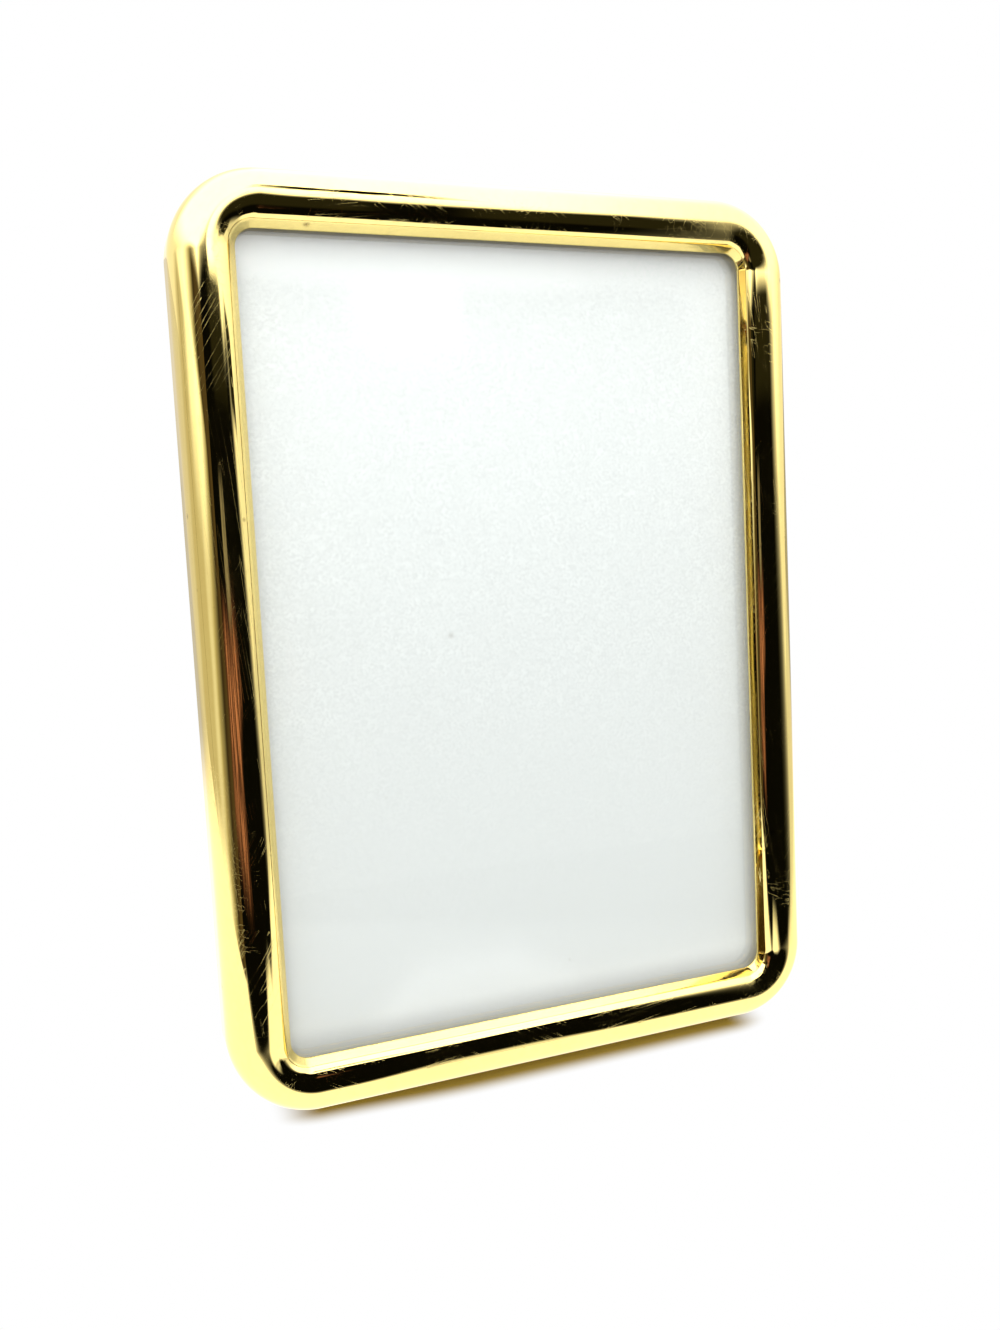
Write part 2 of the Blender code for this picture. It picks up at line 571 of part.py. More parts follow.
def make_strut(parts, cutters, pivot, floor, board_material, velvet_material):
    """The strut's stiff card and the velvet over its back and edges, both cut level with the floor."""
    lining = VELVET_THICKNESS + SEAT_GAP
    board_middle = STRUT_FRONT - STRUT_THICKNESS / 2
    board = place("strut_board", plate_mesh("strut_board", [strut_outline(lining)], STRUT_THICKNESS),
                  parts, pivot, (0, local_y(board_middle), 0))
    cut(board, floor)
    finish_part(board, board_material)
    front = STRUT_FRONT - SEAT_GAP
    back = STRUT_VELVET_FRONT - VELVET_THICKNESS
    velvet = place("strut_velvet", plate_mesh("strut_velvet", [strut_outline(0)], front - back),
                   parts, pivot, (0, local_y((front + back) / 2), 0))
    pocket_front = front + CUT_MARGIN
    pocket_mesh = plate_mesh("strut_velvet_pocket", [strut_outline(VELVET_THICKNESS, CUT_MARGIN)],
                             pocket_front - STRUT_VELVET_FRONT)
    pocket = place("strut_velvet_pocket", pocket_mesh, cutters, pivot,
                   (0, local_y((pocket_front + STRUT_VELVET_FRONT) / 2), 0))
    hem_mesh = box_mesh("velvet_hem_line", *floor_box(SEAT_GAP))
    hem = place("velvet_hem_line", hem_mesh, cutters, None, (0, 0, 0))
    cut(velvet, finish_cutter(pocket), finish_cutter(hem))
    finish_part(velvet, velvet_material)
    return board, velvet


def floor_box(level):
    """The corners of a block that fills everything under a level near the floor."""
    reach = FRAME_WIDTH + FRAME_HEIGHT
    return (-reach, -reach, level - FRAME_HEIGHT / 2), (reach, reach, level)


def centre_over_origin(datum, parts):
    """Move the datum so that the middle of the whole frame's depth is at Y = 0."""
    graph = bpy.context.evaluated_depsgraph_get()
    depths = []
    for obj in parts.objects:
        if obj.type == "MESH":
            solid = obj.evaluated_get(graph)
            depths += [(solid.matrix_world @ vert.co).y for vert in solid.data.vertices]
    datum.location.y -= (min(depths) + max(depths)) / 2


def build():
    clear_scene()
    parts = new_collection("brass_photo_frame")
    cutters = new_collection("cutters")
    brass = new_material("polished_brass", (0.80, 0.58, 0.20), 0.12, 1.0)
    plated = new_material("brassed_steel", (0.72, 0.56, 0.27), 0.28, 1.0)
    steel = new_material("bright_steel", (0.60, 0.59, 0.57), 0.3, 1.0)
    glass = new_material("clear_glass", (0.92, 0.96, 0.95), 0.03, alpha=0.3)
    paper = new_material("white_paper", (0.88, 0.89, 0.88), 0.8)
    wood = new_material("plain_softwood", (0.62, 0.46, 0.28), 0.7)
    hardboard = new_material("hardboard", (0.30, 0.19, 0.11), 0.75)
    card = new_material("black_lining_card", (0.04, 0.04, 0.045), 0.85)
    velvet = new_material("black_velvet", (0.02, 0.02, 0.024), 0.95)

    datum = new_empty("frame_datum", parts, rotation=(-LEAN, 0, 0))
    hinge = new_empty("hinge_axis", parts, datum, (0, -PIN_DEPTH, HINGE_HEIGHT))
    pivot = new_empty("strut_pivot", parts, datum, (0, -PIN_DEPTH, HINGE_HEIGHT), (STRUT_OPENING, 0, 0))
    floor = place("floor_line", box_mesh("floor_line", *floor_box(0)), cutters, None, (0, 0, 0))
    finish_cutter(floor)

    make_moulding(parts, datum, brass)
    make_print_layers(parts, datum, glass, paper)
    back_board, back_velvet = make_back(parts, cutters, datum, hardboard, velvet)
    strips = make_strips(parts, datum, wood)
    make_turn_buttons(parts, cutters, datum, strips, brass, steel)

    back_leaf = make_back_leaf(parts, cutters, hinge, plated)
    strut_leaf = make_strut_leaf(parts, cutters, pivot, plated)
    make_pin(parts, hinge, steel)
    strut_board, strut_velvet = make_strut(parts, cutters, pivot, floor, card, velvet)
    for side, sign in (("left", -1), ("right", 1)):
        back_spot = (sign * BACK_RIVET_SPACING / 2, HINGE_HEIGHT + LEAF_LENGTH - RIVET_INSET)
        make_rivet(f"back_rivet_{side}", (back_leaf, back_velvet, back_board), back_spot,
                   LEAF_FRONT - LEAF_THICKNESS, BOARD_FRONT, parts, cutters, datum, plated)
        strut_spot = (sign * STRUT_RIVET_SPACING / 2, RIVET_INSET - LEAF_LENGTH)
        make_rivet(f"strut_rivet_{side}", (strut_leaf, strut_velvet, strut_board), strut_spot,
                   STRUT_LEAF_FRONT - LEAF_THICKNESS - PIN_DEPTH, STRUT_FRONT - PIN_DEPTH,
                   parts, cutters, pivot, plated)
    centre_over_origin(datum, parts)


build()
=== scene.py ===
"""A small brass photo frame that leans on a folding strut: its pieces, finishes and studio, in metres."""

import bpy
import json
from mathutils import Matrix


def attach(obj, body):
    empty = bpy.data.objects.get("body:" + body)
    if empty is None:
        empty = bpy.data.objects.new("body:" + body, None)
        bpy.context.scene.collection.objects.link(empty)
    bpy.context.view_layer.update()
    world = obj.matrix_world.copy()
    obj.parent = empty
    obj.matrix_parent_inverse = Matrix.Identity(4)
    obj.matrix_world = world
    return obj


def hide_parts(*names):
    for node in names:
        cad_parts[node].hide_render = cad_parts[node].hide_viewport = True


bl_info = {
    "name": "Brass Easel Frame",
    "version": (1, 0, 0),
    "blender": (4, 5, 0),
    "location": "3D View > Sidebar > Easel Frame",
    "description": "Makes a domed brass photo frame with its glass, velvet back, turn-buttons and strut",
    "category": "Add Mesh",
}

import functools
import json
import math

import bmesh
import bpy
from mathutils import Matrix, Vector

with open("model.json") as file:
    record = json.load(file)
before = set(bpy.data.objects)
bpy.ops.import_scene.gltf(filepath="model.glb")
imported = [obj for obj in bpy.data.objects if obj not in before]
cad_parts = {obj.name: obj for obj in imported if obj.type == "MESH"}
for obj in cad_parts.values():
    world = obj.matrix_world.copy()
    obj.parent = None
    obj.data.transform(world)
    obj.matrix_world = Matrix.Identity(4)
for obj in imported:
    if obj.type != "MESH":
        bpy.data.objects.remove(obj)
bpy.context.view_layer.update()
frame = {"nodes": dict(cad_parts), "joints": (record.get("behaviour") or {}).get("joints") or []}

MM = 0.001
QUARTER = math.pi / 2
TURN = 2 * math.pi

LEAN = math.radians(16)
STRUT_TILT = math.radians(12)
BASE_Y = -20.985 * MM
PIVOT = Vector(frame["joints"][0]["pos_m"])

# Gaps between stacked layers, round a shank in its hole, and round the pin in its bore
LAYER_GAP = 0.3 * MM
HOLE_GAP = 0.1 * MM
BORE_GAP = 0.08 * MM
# From the moulding's back edge back to the outer faces of the turn-buttons and of the back leaf
SEAT_Y = 0.15 * MM
# The rivets: up from the pin, and aside from the middle on each leaf
RIVET_UP, BACK_RIVET_X, STRUT_RIVET_X = 9 * MM, 6.5 * MM, 5 * MM
# The strut's velvet: its face behind the pin, its end before the foot is cut, and its length to the foot
STRUT_FACE, STRUT_END, STRUT_RUN = 0.675 * MM, -102.0 * MM, 97.0 * MM
# The radius of its upper corners, and how far it wraps forwards over the edge
STRUT_CORNER, STRUT_WRAP = 2.5 * MM, 2.1 * MM
# Past any hinge leaf, for what cuts through one
THROUGH = 5 * MM

# The photograph's view: place in metres, turn in degrees, lens and film width in millimetres
CAMERA_SPOT = (-0.0694004, -0.1658989, 0.1277360)
CAMERA_TURN = (69.60473, -3.01195, -21.47152)
CAMERA_LENS, CAMERA_FILM = 31.2415, 36.0
WHITE = (1.0, 1.0, 1.0, 1.0)


def number(name, description, default, **more):
    """A number from 0 up."""
    return bpy.props.FloatProperty(name=name, description=description, default=default,
                                   min=0.0, precision=5, **more)


def length(name, description, millimetres):
    """A size, given in millimetres and kept in metres."""
    return number(name, description, millimetres * MM, subtype="DISTANCE", unit="LENGTH")


def colour(name, description, default):
    """A colour of three linear values."""
    return bpy.props.FloatVectorProperty(name=name, description=description, default=default,
                                         size=3, min=0.0, max=1.0, subtype="COLOR")


class FrameSizes(bpy.types.PropertyGroup):
    """Sizes of the moulding and of what it holds."""
    width: length("Width", "Outside width of the moulding", 100.0)
    height: length("Height", "Outside height of the moulding, up its lean", 139.0)
    corner: length("Corner radius", "Radius of the moulding's outer corners", 13.0)
    wall: length("Wall", "Height of the straight outer wall", 3.1)
    depth: length("Depth", "From the back edge to the crown of the dome", 10.5)
    crown: length("Crown", "From the outer edge in to the crown", 4.5)
    sheet: length("Sheet", "Thickness of the pressed brass", 0.6)
    hem: length("Hem radius", "Radius of the rolled edge round the sight opening", 0.45)
    hem_depth: length("Hem depth", "Depth of the middle of the rolled edge", 7.2)
    hem_inset: length("Hem inset", "From the outer edge in to the middle of the rolled edge", 8.55)
    hem_return: length("Hem return", "Width of the flange folded back behind the rolled edge", 1.6)
    corner_draw: length("Corner draw", "How far the sight opening's corners are drawn in tighter", 1.2)
    print_width: length("Print width", "Width of the glass, card and back", 89.0)
    print_height: length("Print height", "Height of the glass, card and back", 127.0)
    glass_front: length("Glass depth", "Depth of the front of the glass", 6.45)
    glass: length("Glass", "Thickness of the glass", 1.5)
    arris: length("Arris", "Width of the ground edge of the glass", 0.2)


class BackSizes(bpy.types.PropertyGroup):
    """Sizes of the velvet, the buttons, the hinge and the strut."""
    back_face: length("Back face", "Depth of the velvet's outer face", 0.75)
    velvet_edge: length("Velvet edge", "How far the velvet wraps forwards over the back's edge", 2.9)
    velvet: length("Velvet", "Thickness of the velvet", 0.5)
    back_corner: length("Back corner", "Corner radius of the covered back", 2.0)
    button_head: length("Button head", "Radius of a turn-button round its screw", 2.05)
    button_tip: length("Button tip", "Radius of a turn-button's tip", 1.5)
    button_run: length("Button run", "From a turn-button's screw to the middle of its tip", 6.5)
    button: length("Button", "Thickness of a turn-button", 0.6)
    button_inset: length("Button inset", "From the frame's outer edge to a turn-button's screw", 3.05)
    button_spacing: length("Button spacing", "Between the two screws of one side", 70.0)
    screw_head: length("Screw head", "Radius of a screw's head", 1.7)
    screw_rise: length("Screw rise", "Height of a screw's head", 0.9)
    screw_shank: length("Screw shank", "Radius of a screw's shank", 0.75)
    screw_length: length("Screw length", "Length of a screw under its head", 5.5)
    slot_width: length("Slot width", "Width of a screw's slot", 0.45)
    slot_depth: length("Slot depth", "Depth of a screw's slot", 0.4)
    knuckle: length("Knuckle", "Outer radius of the hinge's rolled knuckles", 1.575)
    leaf: length("Leaf", "Thickness of a hinge leaf", 0.6)
    leaf_step: length("Leaf step", "How far the back leaf steps forwards from its knuckle", 0.9)
    leaf_bend: length("Leaf bend", "Length of the leaf that the step takes", 1.5)
    leaf_corner: length("Leaf corner", "Corner radius of a hinge leaf", 1.0)
    leaf_width: length("Leaf width", "Width of a hinge leaf", 18.0)
    leaf_length: length("Leaf length", "Length of a hinge leaf from the pin", 14.0)
    knuckle_width: length("Knuckle width", "Width of the strut's knuckle", 8.0)
    pin: length("Pin", "Radius of the hinge pin", 0.75)
    pin_depth: length("Pin setback", "From the frame's back edge back to the middle of the pin", 2.025)
    hinge_height: length("Hinge height", "Height of the pin, up the frame's lean", 101.0)
    tab_width: length("Stop tab width", "Width of the tab that stops the strut", 6.0)
    tab_length: length("Stop tab length", "Length of the stop tab from the pin", 8.0)
    rivet: length("Rivet", "Radius of a rivet's shank", 0.8)
    rivet_head: length("Rivet head", "Radius of a rivet's domed head", 1.6)
    rivet_rise: length("Rivet rise", "Height of a rivet's head", 0.6)
    rivet_clinch: length("Rivet clinch", "Radius of a rivet's clinched end", 1.4)
    strut_top: length("Strut top", "Half the strut's width at its top", 11.0)
    strut_flare: number("Strut flare", "Gain in half the strut's width for each unit of length", 0.06197)


class FrameColours(bpy.types.PropertyGroup):
    """Colours of the finishes."""
    brass: colour("Brass", "Polished brass of the moulding", (0.91, 0.735, 0.27))
    brass_worn: colour("Worn brass", "Brass where handling has dulled it", (0.84, 0.63, 0.22))
    button: colour("Button brass", "Tumbled brass of the turn-buttons", (0.80, 0.60, 0.24))
    plate: colour("Plating", "Brass plating of the hinge and rivets", (0.74, 0.58, 0.28))
    steel: colour("Steel", "Bright steel of the pin and screws", (0.62, 0.61, 0.58))
    paper: colour("Paper", "Plain insert card", (0.93, 0.94, 0.93))
    glass: colour("Glass", "Tint of the glass", (0.985, 1.0, 0.995))
    velvet: colour("Velvet", "Pile of the velvet", (0.006, 0.006, 0.007))
    velvet_light: colour("Velvet highlight", "Velvet where it catches the light", (0.05, 0.05, 0.055))
    wood: colour("Softwood", "Pale wood between the rings", (0.66, 0.49, 0.30))
    wood_dark: colour("Softwood rings", "Late wood of the rings", (0.42, 0.25, 0.12))
    hardboard: colour("Hardboard", "Pressed fibre of the back board", (0.30, 0.19, 0.11))
    lining: colour("Lining", "Black paper lining of the strut", (0.035, 0.035, 0.04))


class StageSettings(bpy.types.PropertyGroup):
    """Levels of the studio's light."""
    world: number("Sky", "Level of the even light from all round", 0.5)
    sky_glow: number("Ceiling", "Level of the bright ceiling that polished metal reflects", 3.3)
    overhead: number("Overhead lamp", "Power of the soft lamp above the frame", 1.55, unit="POWER")


SETTINGS = {"frame_sizes": FrameSizes, "back_sizes": BackSizes, "frame_colours": FrameColours,
            "stage_settings": StageSettings}


# Shaping

def arc(centre, radii, start, end, steps):
    """Points along an ellipse's arc, both ends included."""
    return [(centre[0] + radii[0] * math.cos(start + (end - start) * i / steps),
             centre[1] + radii[1] * math.sin(start + (end - start) * i / steps)) for i in range(steps + 1)]


def set_mode(mode):
    """Enter or leave edit mode."""
    bpy.ops.object.mode_set(mode=mode)


def select_mesh():
    """In edit mode, select all of the piece."""
    bpy.ops.mesh.select_all(action="SELECT")


def set_in_mesh():
    """Take the selected piece's place, turn and size into its mesh."""
    bpy.ops.object.transform_apply(location=True, rotation=True, scale=True)


def add_shape(operator, name, **settings):
    """A primitive, the only piece selected, with its place in its mesh."""
    bpy.ops.object.select_all(action="DESELECT")
    operator(**settings)
    piece = bpy.context.object
    piece.name = piece.data.name = name
    set_in_mesh()
    return piece


def new_piece(name):
    """An empty piece in edit mode, the only one selected."""
    piece = add_shape(bpy.ops.mesh.primitive_plane_add, name, size=MM)
    set_mode("EDIT")
    select_mesh()
    bpy.ops.mesh.delete(type="VERT")
    return piece


def pick(piece, kind, wanted):
    """In edit mode, select only the verts or edges that pass a test."""
    bpy.ops.mesh.select_mode(type={"verts": "VERT", "edges": "EDGE"}[kind])
    bpy.ops.mesh.select_all(action="DESELECT")
    for item in [item for item in getattr(bmesh.from_edit_mesh(piece.data), kind) if wanted(item)]:
        item.select_set(True)
    bmesh.update_edit_mesh(piece.data)


def draw_line(piece, points, closed=True):
    """In edit mode, a line of edges drawn by extruding a vertex from point to point."""
    bpy.ops.mesh.select_mode(type="VERT")
    bpy.ops.mesh.select_all(action="DESELECT")
    bpy.ops.mesh.primitive_plane_add(size=0.01 * MM, location=points[0])
    bpy.ops.mesh.merge(type="CENTER")
    first = len(bmesh.from_edit_mesh(piece.data).verts) - 1
    for last, point in zip(points, points[1:]):
        bpy.ops.mesh.extrude_vertices_move(TRANSFORM_OT_translate={"value": Vector(point) - Vector(last)})
    if closed:
        end = first + len(points) - 1
        pick(piece, "verts", lambda vert: vert.index in (first, end))
        bpy.ops.mesh.edge_face_add()


def extrude(step):
    """In edit mode, extrude what is selected along a step."""
    bpy.ops.mesh.extrude_region_move(TRANSFORM_OT_translate={"value": step})


def face_outwards():
    """In edit mode, turn every face outwards, then leave edit mode."""
    select_mesh()
    bpy.ops.mesh.normals_make_consistent(inside=False)
    set_mode("OBJECT")


def close_up():
    """In edit mode, merge doubles and turn every face outwards, then leave edit mode."""
    select_mesh()
    bpy.ops.mesh.remove_doubles(threshold=0.0005 * MM)
    face_outwards()


def use_only(piece):
    """Make a piece the active one and the only one selected."""
    bpy.ops.object.select_all(action="DESELECT")
    piece.select_set(True)
    bpy.context.view_layer.objects.active = piece


def apply_modifier(piece, kind, **settings):
    """Add a modifier with these settings and apply it."""
    use_only(piece)
    modifier = piece.modifiers.new(kind.title(), kind)
    for name, value in settings.items():
        setattr(modifier, name, value)
    bpy.ops.object.modifier_apply(modifier=modifier.name)


def round_edges(piece, width, segments=3, angle=math.radians(35)):
    """Round every edge sharper than the angle."""
    apply_modifier(piece, "BEVEL", width=width, segments=segments, limit_method="ANGLE", angle_limit=angle)


def combine(piece, other, operation="DIFFERENCE"):
    """Cut another shape out of a piece, or join it on, and delete that other shape."""
    apply_modifier(piece, "BOOLEAN", operation=operation, solver="EXACT", object=other)
    bpy.data.objects.remove(other)


def block(name, low, high):
    """A box between two corners, for cutting and for plates."""
    middle = [(a + b) / 2 for a, b in zip(low, high)]
    size = [b - a for a, b in zip(low, high)]
    return add_shape(bpy.ops.mesh.primitive_cube_add, name, size=1, location=middle, scale=size)


def smooth(piece, angle=math.radians(40)):
    """Shade a piece smooth, apart from edges sharper than the angle."""
    use_only(piece)
    bpy.ops.object.shade_smooth_by_angle(angle=angle)


def smooth_plate(piece):
    """Shade round edges softly and leave the flat faces between them flat."""
    smooth(piece, math.radians(35))
    apply_modifier(piece, "WEIGHTED_NORMAL", mode="FACE_AREA", weight=50, keep_sharp=True)


def place(piece, turn=Matrix.Identity(3), spot=(0, 0, 0)):
    """Turn a piece and move it to its spot, with its place in its mesh."""
    use_only(piece)
    piece.matrix_world = Matrix.Translation(spot) @ turn.to_4x4()
    set_in_mesh()


def lean(piece):
    """From upright, with Z up the frame from its base edge and Y backwards, to where it stands."""
    place(piece, Matrix.Rotation(-LEAN, 3, "X"), (0, BASE_Y, 0))


def tilt(piece):
    """From about the hinge pin to the open strut."""
    place(piece, Matrix.Rotation(STRUT_TILT, 3, "X"), PIVOT)


def finish_piece(piece, body, slot, material, *nodes):
    """Give a piece its material and its body, and hide the CAD nodes it stands for; the slot is not used.
    """
    piece.data.materials.clear()
    piece.data.materials.append(material)
    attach(piece, body)
    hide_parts(*nodes)


def copy_of(piece, name, step, mirrored=False):
    """A copy with its own mesh, moved by a step and mirrored across the frame's middle if asked."""
    use_only(piece)
    bpy.ops.object.duplicate(linked=False)
    twin = bpy.context.object
    twin.name = twin.data.name = name
    if mirrored:
        twin.scale.x = -1
        set_in_mesh()
        set_mode("EDIT")
        face_outwards()
    twin.location = step
    set_in_mesh()
    return twin


def four_of(first, rise, body, slot, material, node_start):
    """A fitting made low on the left, with its copies above it and on the right, leant with the frame."""
    kind = first.name.removesuffix("_left_lower")
    pieces = [first]
    for side, mirrored in (("left", False), ("right", True)):
        for level, step in (("lower", 0), ("upper", 1)):
            if mirrored or step:
                pieces.append(copy_of(first, f"{kind}_{side}_{level}", (0, 0, rise * step), mirrored))
    for piece in pieces:
        lean(piece)
        finish_piece(piece, body or piece.name, slot, material, node_start + piece.name)


def dome(base, radius, rise, steps):
    """A dome's profile from its top to its rim, for turning."""
    return [(0, base + rise)] + arc((0, base), (radius, rise), QUARTER, 0, steps)[1:]


def turned(name, profile):
    """A turned piece about Z, from (radius, height) points that start and end on its axis."""
    piece = new_piece(name)
    draw_line(piece, [(radius, 0, height) for radius, height in profile], closed=False)
    select_mesh()
    bpy.ops.mesh.spin(steps=48, angle=TURN, center=(0, 0, 0), axis=(0, 0, 1), use_auto_merge=True)
    close_up()
    return piece


def plate(name, outlines, thickness, flat_axis):
    """A plate from closed outlines in the plane across an axis, the first its edge and the others holes."""
    piece = new_piece(name)
    half = -thickness / 2
    lift = {"Y": lambda x, z: (x, half, z), "X": lambda y, z: (half, y, z)}[flat_axis]
    for outline in outlines:
        draw_line(piece, [lift(*point) for point in outline])
    select_mesh()
    bpy.ops.mesh.fill(use_beauty=True)
    select_mesh()
    extrude((thickness, 0, 0) if flat_axis == "X" else (0, thickness, 0))
    close_up()
    return piece


# Finishes

def is_socket(value):
    """Whether a value comes from a node."""
    return isinstance(value, bpy.types.NodeSocket)


def add(kind, inputs=None, tree=None, **settings):
    """A shader node, its inputs set or linked, beside those that feed it or else in the tree given."""
    inputs = inputs or {}
    tree = tree or next(value.id_data for value in inputs.values() if is_socket(value))
    node = tree.nodes.new("ShaderNode" + kind)
    for name, value in settings.items():
        setattr(node, name, value)
    feed(node, inputs)
    return node


def feed(node, inputs):
    """Set or link inputs of a node."""
    for key, value in inputs.items():
        if is_socket(value):
            node.id_data.links.new(value, node.inputs[key])
        else:
            node.inputs[key].default_value = value


def calc(operation, *values, clamp=False):
    """A Math node's result."""
    return add("Math", dict(enumerate(values)), operation=operation, use_clamp=clamp).outputs[0]


def chain(operation):
    """A function that takes values together, from the first on, with Math nodes of one kind."""
    return lambda *values: functools.reduce(functools.partial(calc, operation), values)


plus, minus, times, over, most = map(chain, ("ADD", "SUBTRACT", "MULTIPLY", "DIVIDE", "MAXIMUM"))


def mix(factor, first, second):
    """A mix of two numbers."""
    return add("Mix", {0: factor, 2: first, 3: second}).outputs[0]


def blend_colours(factor, first, second):
    """A mix of two colours."""
    return add("Mix", {0: factor, 6: rgba(first), 7: rgba(second)}, data_type="RGBA").outputs[2]


def paint_over(base, *layers):
    """A colour with others laid over it in turn, each given as (how much of it, its colour)."""
    return functools.reduce(lambda under, layer: blend_colours(layer[0], under, layer[1]), layers, base)


def remap(value, low, high, to_low=0.0, to_high=1.0, kind="SMOOTHSTEP"):
    """A value's range carried over to another, and held at its ends."""
    inputs = {0: value, 1: low, 2: high, 3: to_low, 4: to_high}
    return add("MapRange", inputs, interpolation_type=kind).outputs[0]


def fall(value, low, high):
    """1 below two values, falling softly to 0 above them."""
    return remap(value, low, high, 1.0, 0.0)


def band(value, low, high, soft):
    """1 between two values, falling softly to 0 outside them."""
    return times(remap(value, low - soft, low + soft), fall(value, high - soft, high + soft))


def noise(vector, scale, detail=2.0, roughness=0.5, distortion=0.0):
    """Cloudy values about a half."""
    return add("TexNoise", {"Vector": vector, "Scale": scale, "Detail": detail,
                            "Roughness": roughness, "Distortion": distortion}).outputs[0]


def moved(vector, scale=(1, 1, 1), rotation=(0, 0, 0), location=(0, 0, 0)):
    """A place turned, scaled and shifted, for a pattern to read."""
    inputs = {"Vector": vector, "Scale": scale, "Rotation": rotation, "Location": location}
    return add("Mapping", inputs).outputs[0]


def scaled(vector, factors):
    """A vector or colour multiplied, part by part."""
    return add("VectorMath", {0: vector, 1: factors}, operation="MULTIPLY").outputs[0]


def parts_of(vector):
    """The X, Y and Z of a vector, by name."""
    return add("SeparateXYZ", {0: vector}).outputs


def rgba(value):
    """A colour as a socket takes it."""
    return value if is_socket(value) else (*value, 1.0)


def shaded(colour, level):
    """A colour made darker."""
    return [part * level for part in colour]


def hairlines(vector, spread, width, density):
    """Fine scratches in three directions: thin lines along the level lines of stretched noise."""
    masks = []
    for layer, (angle, stretch) in enumerate(((0.12, 0.03), (-0.55, 0.05), (1.25, 0.06))):
        along = moved(vector, rotation=(0.3 * layer, 0.2 * layer, angle), location=(layer, 0, 0))
        field = noise(scaled(along, (stretch, 1.0, 1.0)), spread, detail=1.0)
        thin = calc("SUBTRACT", 1.0, over(calc("ABSOLUTE", minus(field, 0.5)), width), clamp=True)
        masks.append(times(thin, calc("LESS_THAN", noise(along, 90.0, detail=1.0), density)))
    return most(*masks)


def specks(vector, scale, radius, share):
    """Scattered small round marks of unlike sizes."""
    cells = add("TexVoronoi", {"Vector": vector, "Scale": scale}).outputs
    chance = add("SeparateColor", {0: cells["Color"]}).outputs
    reach = times(radius, plus(chance[1], 0.3))
    dot = calc("SUBTRACT", 1.0, over(cells["Distance"], reach), clamp=True)
    return times(dot, calc("LESS_THAN", chance[0], share))


def clouds(vector, scale, grain):
    """Soft uneven tone, between 0 and 1, from large patches and fine grain."""
    fine = minus(noise(vector, times(scale, 14.0)), 0.5)
    return remap(plus(noise(vector, scale, detail=4.0, roughness=0.6), times(fine, grain)), 0.3, 0.7)


def fibres(vector, scale, length):
    """Short fibres laid every way, as in paper, hardboard and pile."""
    layers = []
    for turn in ((0.2, 0.4, 0.1), (1.1, 0.3, 1.4), (0.5, 1.2, -0.8)):
        stretch = add("CombineXYZ", {0: over(1.0, length), 1: 1.0, 2: 1.0}).outputs[0]
        layers.append(noise(scaled(moved(vector, rotation=turn), stretch), scale, detail=1.0))
    return remap(most(*layers), 0.42, 0.8)


EFFECTS = {
    "hairlines": (hairlines, "Mask", {"Spread": 260.0, "Width": 0.02, "Density": 0.5}),
    "specks": (specks, "Mask", {"Scale": 300.0, "Radius": 0.2, "Share": 0.3}),
    "clouds": (clouds, "Tone", {"Scale": 40.0, "Grain": 0.3}),
    "fibres": (fibres, "Tone", {"Scale": 900.0, "Length": 6.0}),
}


def make_effect(name):
    """Build one of the shared effects as a node group with named inputs and an output."""
    build, output, defaults = EFFECTS[name]
    tree = bpy.data.node_groups.new("effect_" + name, "ShaderNodeTree")
    new_socket = tree.interface.new_socket
    new_socket(name="Vector", in_out="INPUT", socket_type="NodeSocketVector")
    for label, default in defaults.items():
        new_socket(name=label, in_out="INPUT", socket_type="NodeSocketFloat").default_value = default
    new_socket(name=output, in_out="OUTPUT", socket_type="NodeSocketFloat")
    given = tree.nodes.new("NodeGroupInput").outputs
    result = build(given["Vector"], *(given[label] for label in defaults))
    tree.links.new(result, tree.nodes.new("NodeGroupOutput").inputs[output])
    return tree


def effect(name, vector, **values):
    """One of the shared effects, placed in a material with its own values."""
    node = vector.id_data.nodes.new("ShaderNodeGroup")
    node.node_tree = bpy.data.node_groups.get("effect_" + name) or make_effect(name)
    feed(node, {"Vector": vector, **{label.title(): value for label, value in values.items()}})
    return node.outputs[0]


def empty_tree(owner):
    """The node tree of a material or world, with nothing in it."""
    owner.use_nodes = True
    owner.node_tree.nodes.clear()
    return owner.node_tree


def put_out(surface, kind="Material"):
    """Make a shader the surface of its material or world."""
    add("Output" + kind, {0: surface})


def new_material(name):
    """A material with an empty node tree, its Principled shader and its Object coordinates."""
    material = bpy.data.materials.new(name)
    tree = empty_tree(material)
    return material, add("BsdfPrincipled", tree=tree), add("TexCoord", tree=tree).outputs["Object"]


def finish_with(shader, colour, roughness, height, distance, plain):
    """Give a Principled shader its colour, roughness, relief of a greatest distance, and plain inputs."""
    normal = add("Bump", {"Height": height, "Distance": distance, "Strength": 1.0}).outputs[0]
    feed(shader, {"Base Color": colour, "Roughness": roughness, "Normal": normal, **plain})
    put_out(shader.outputs[0])


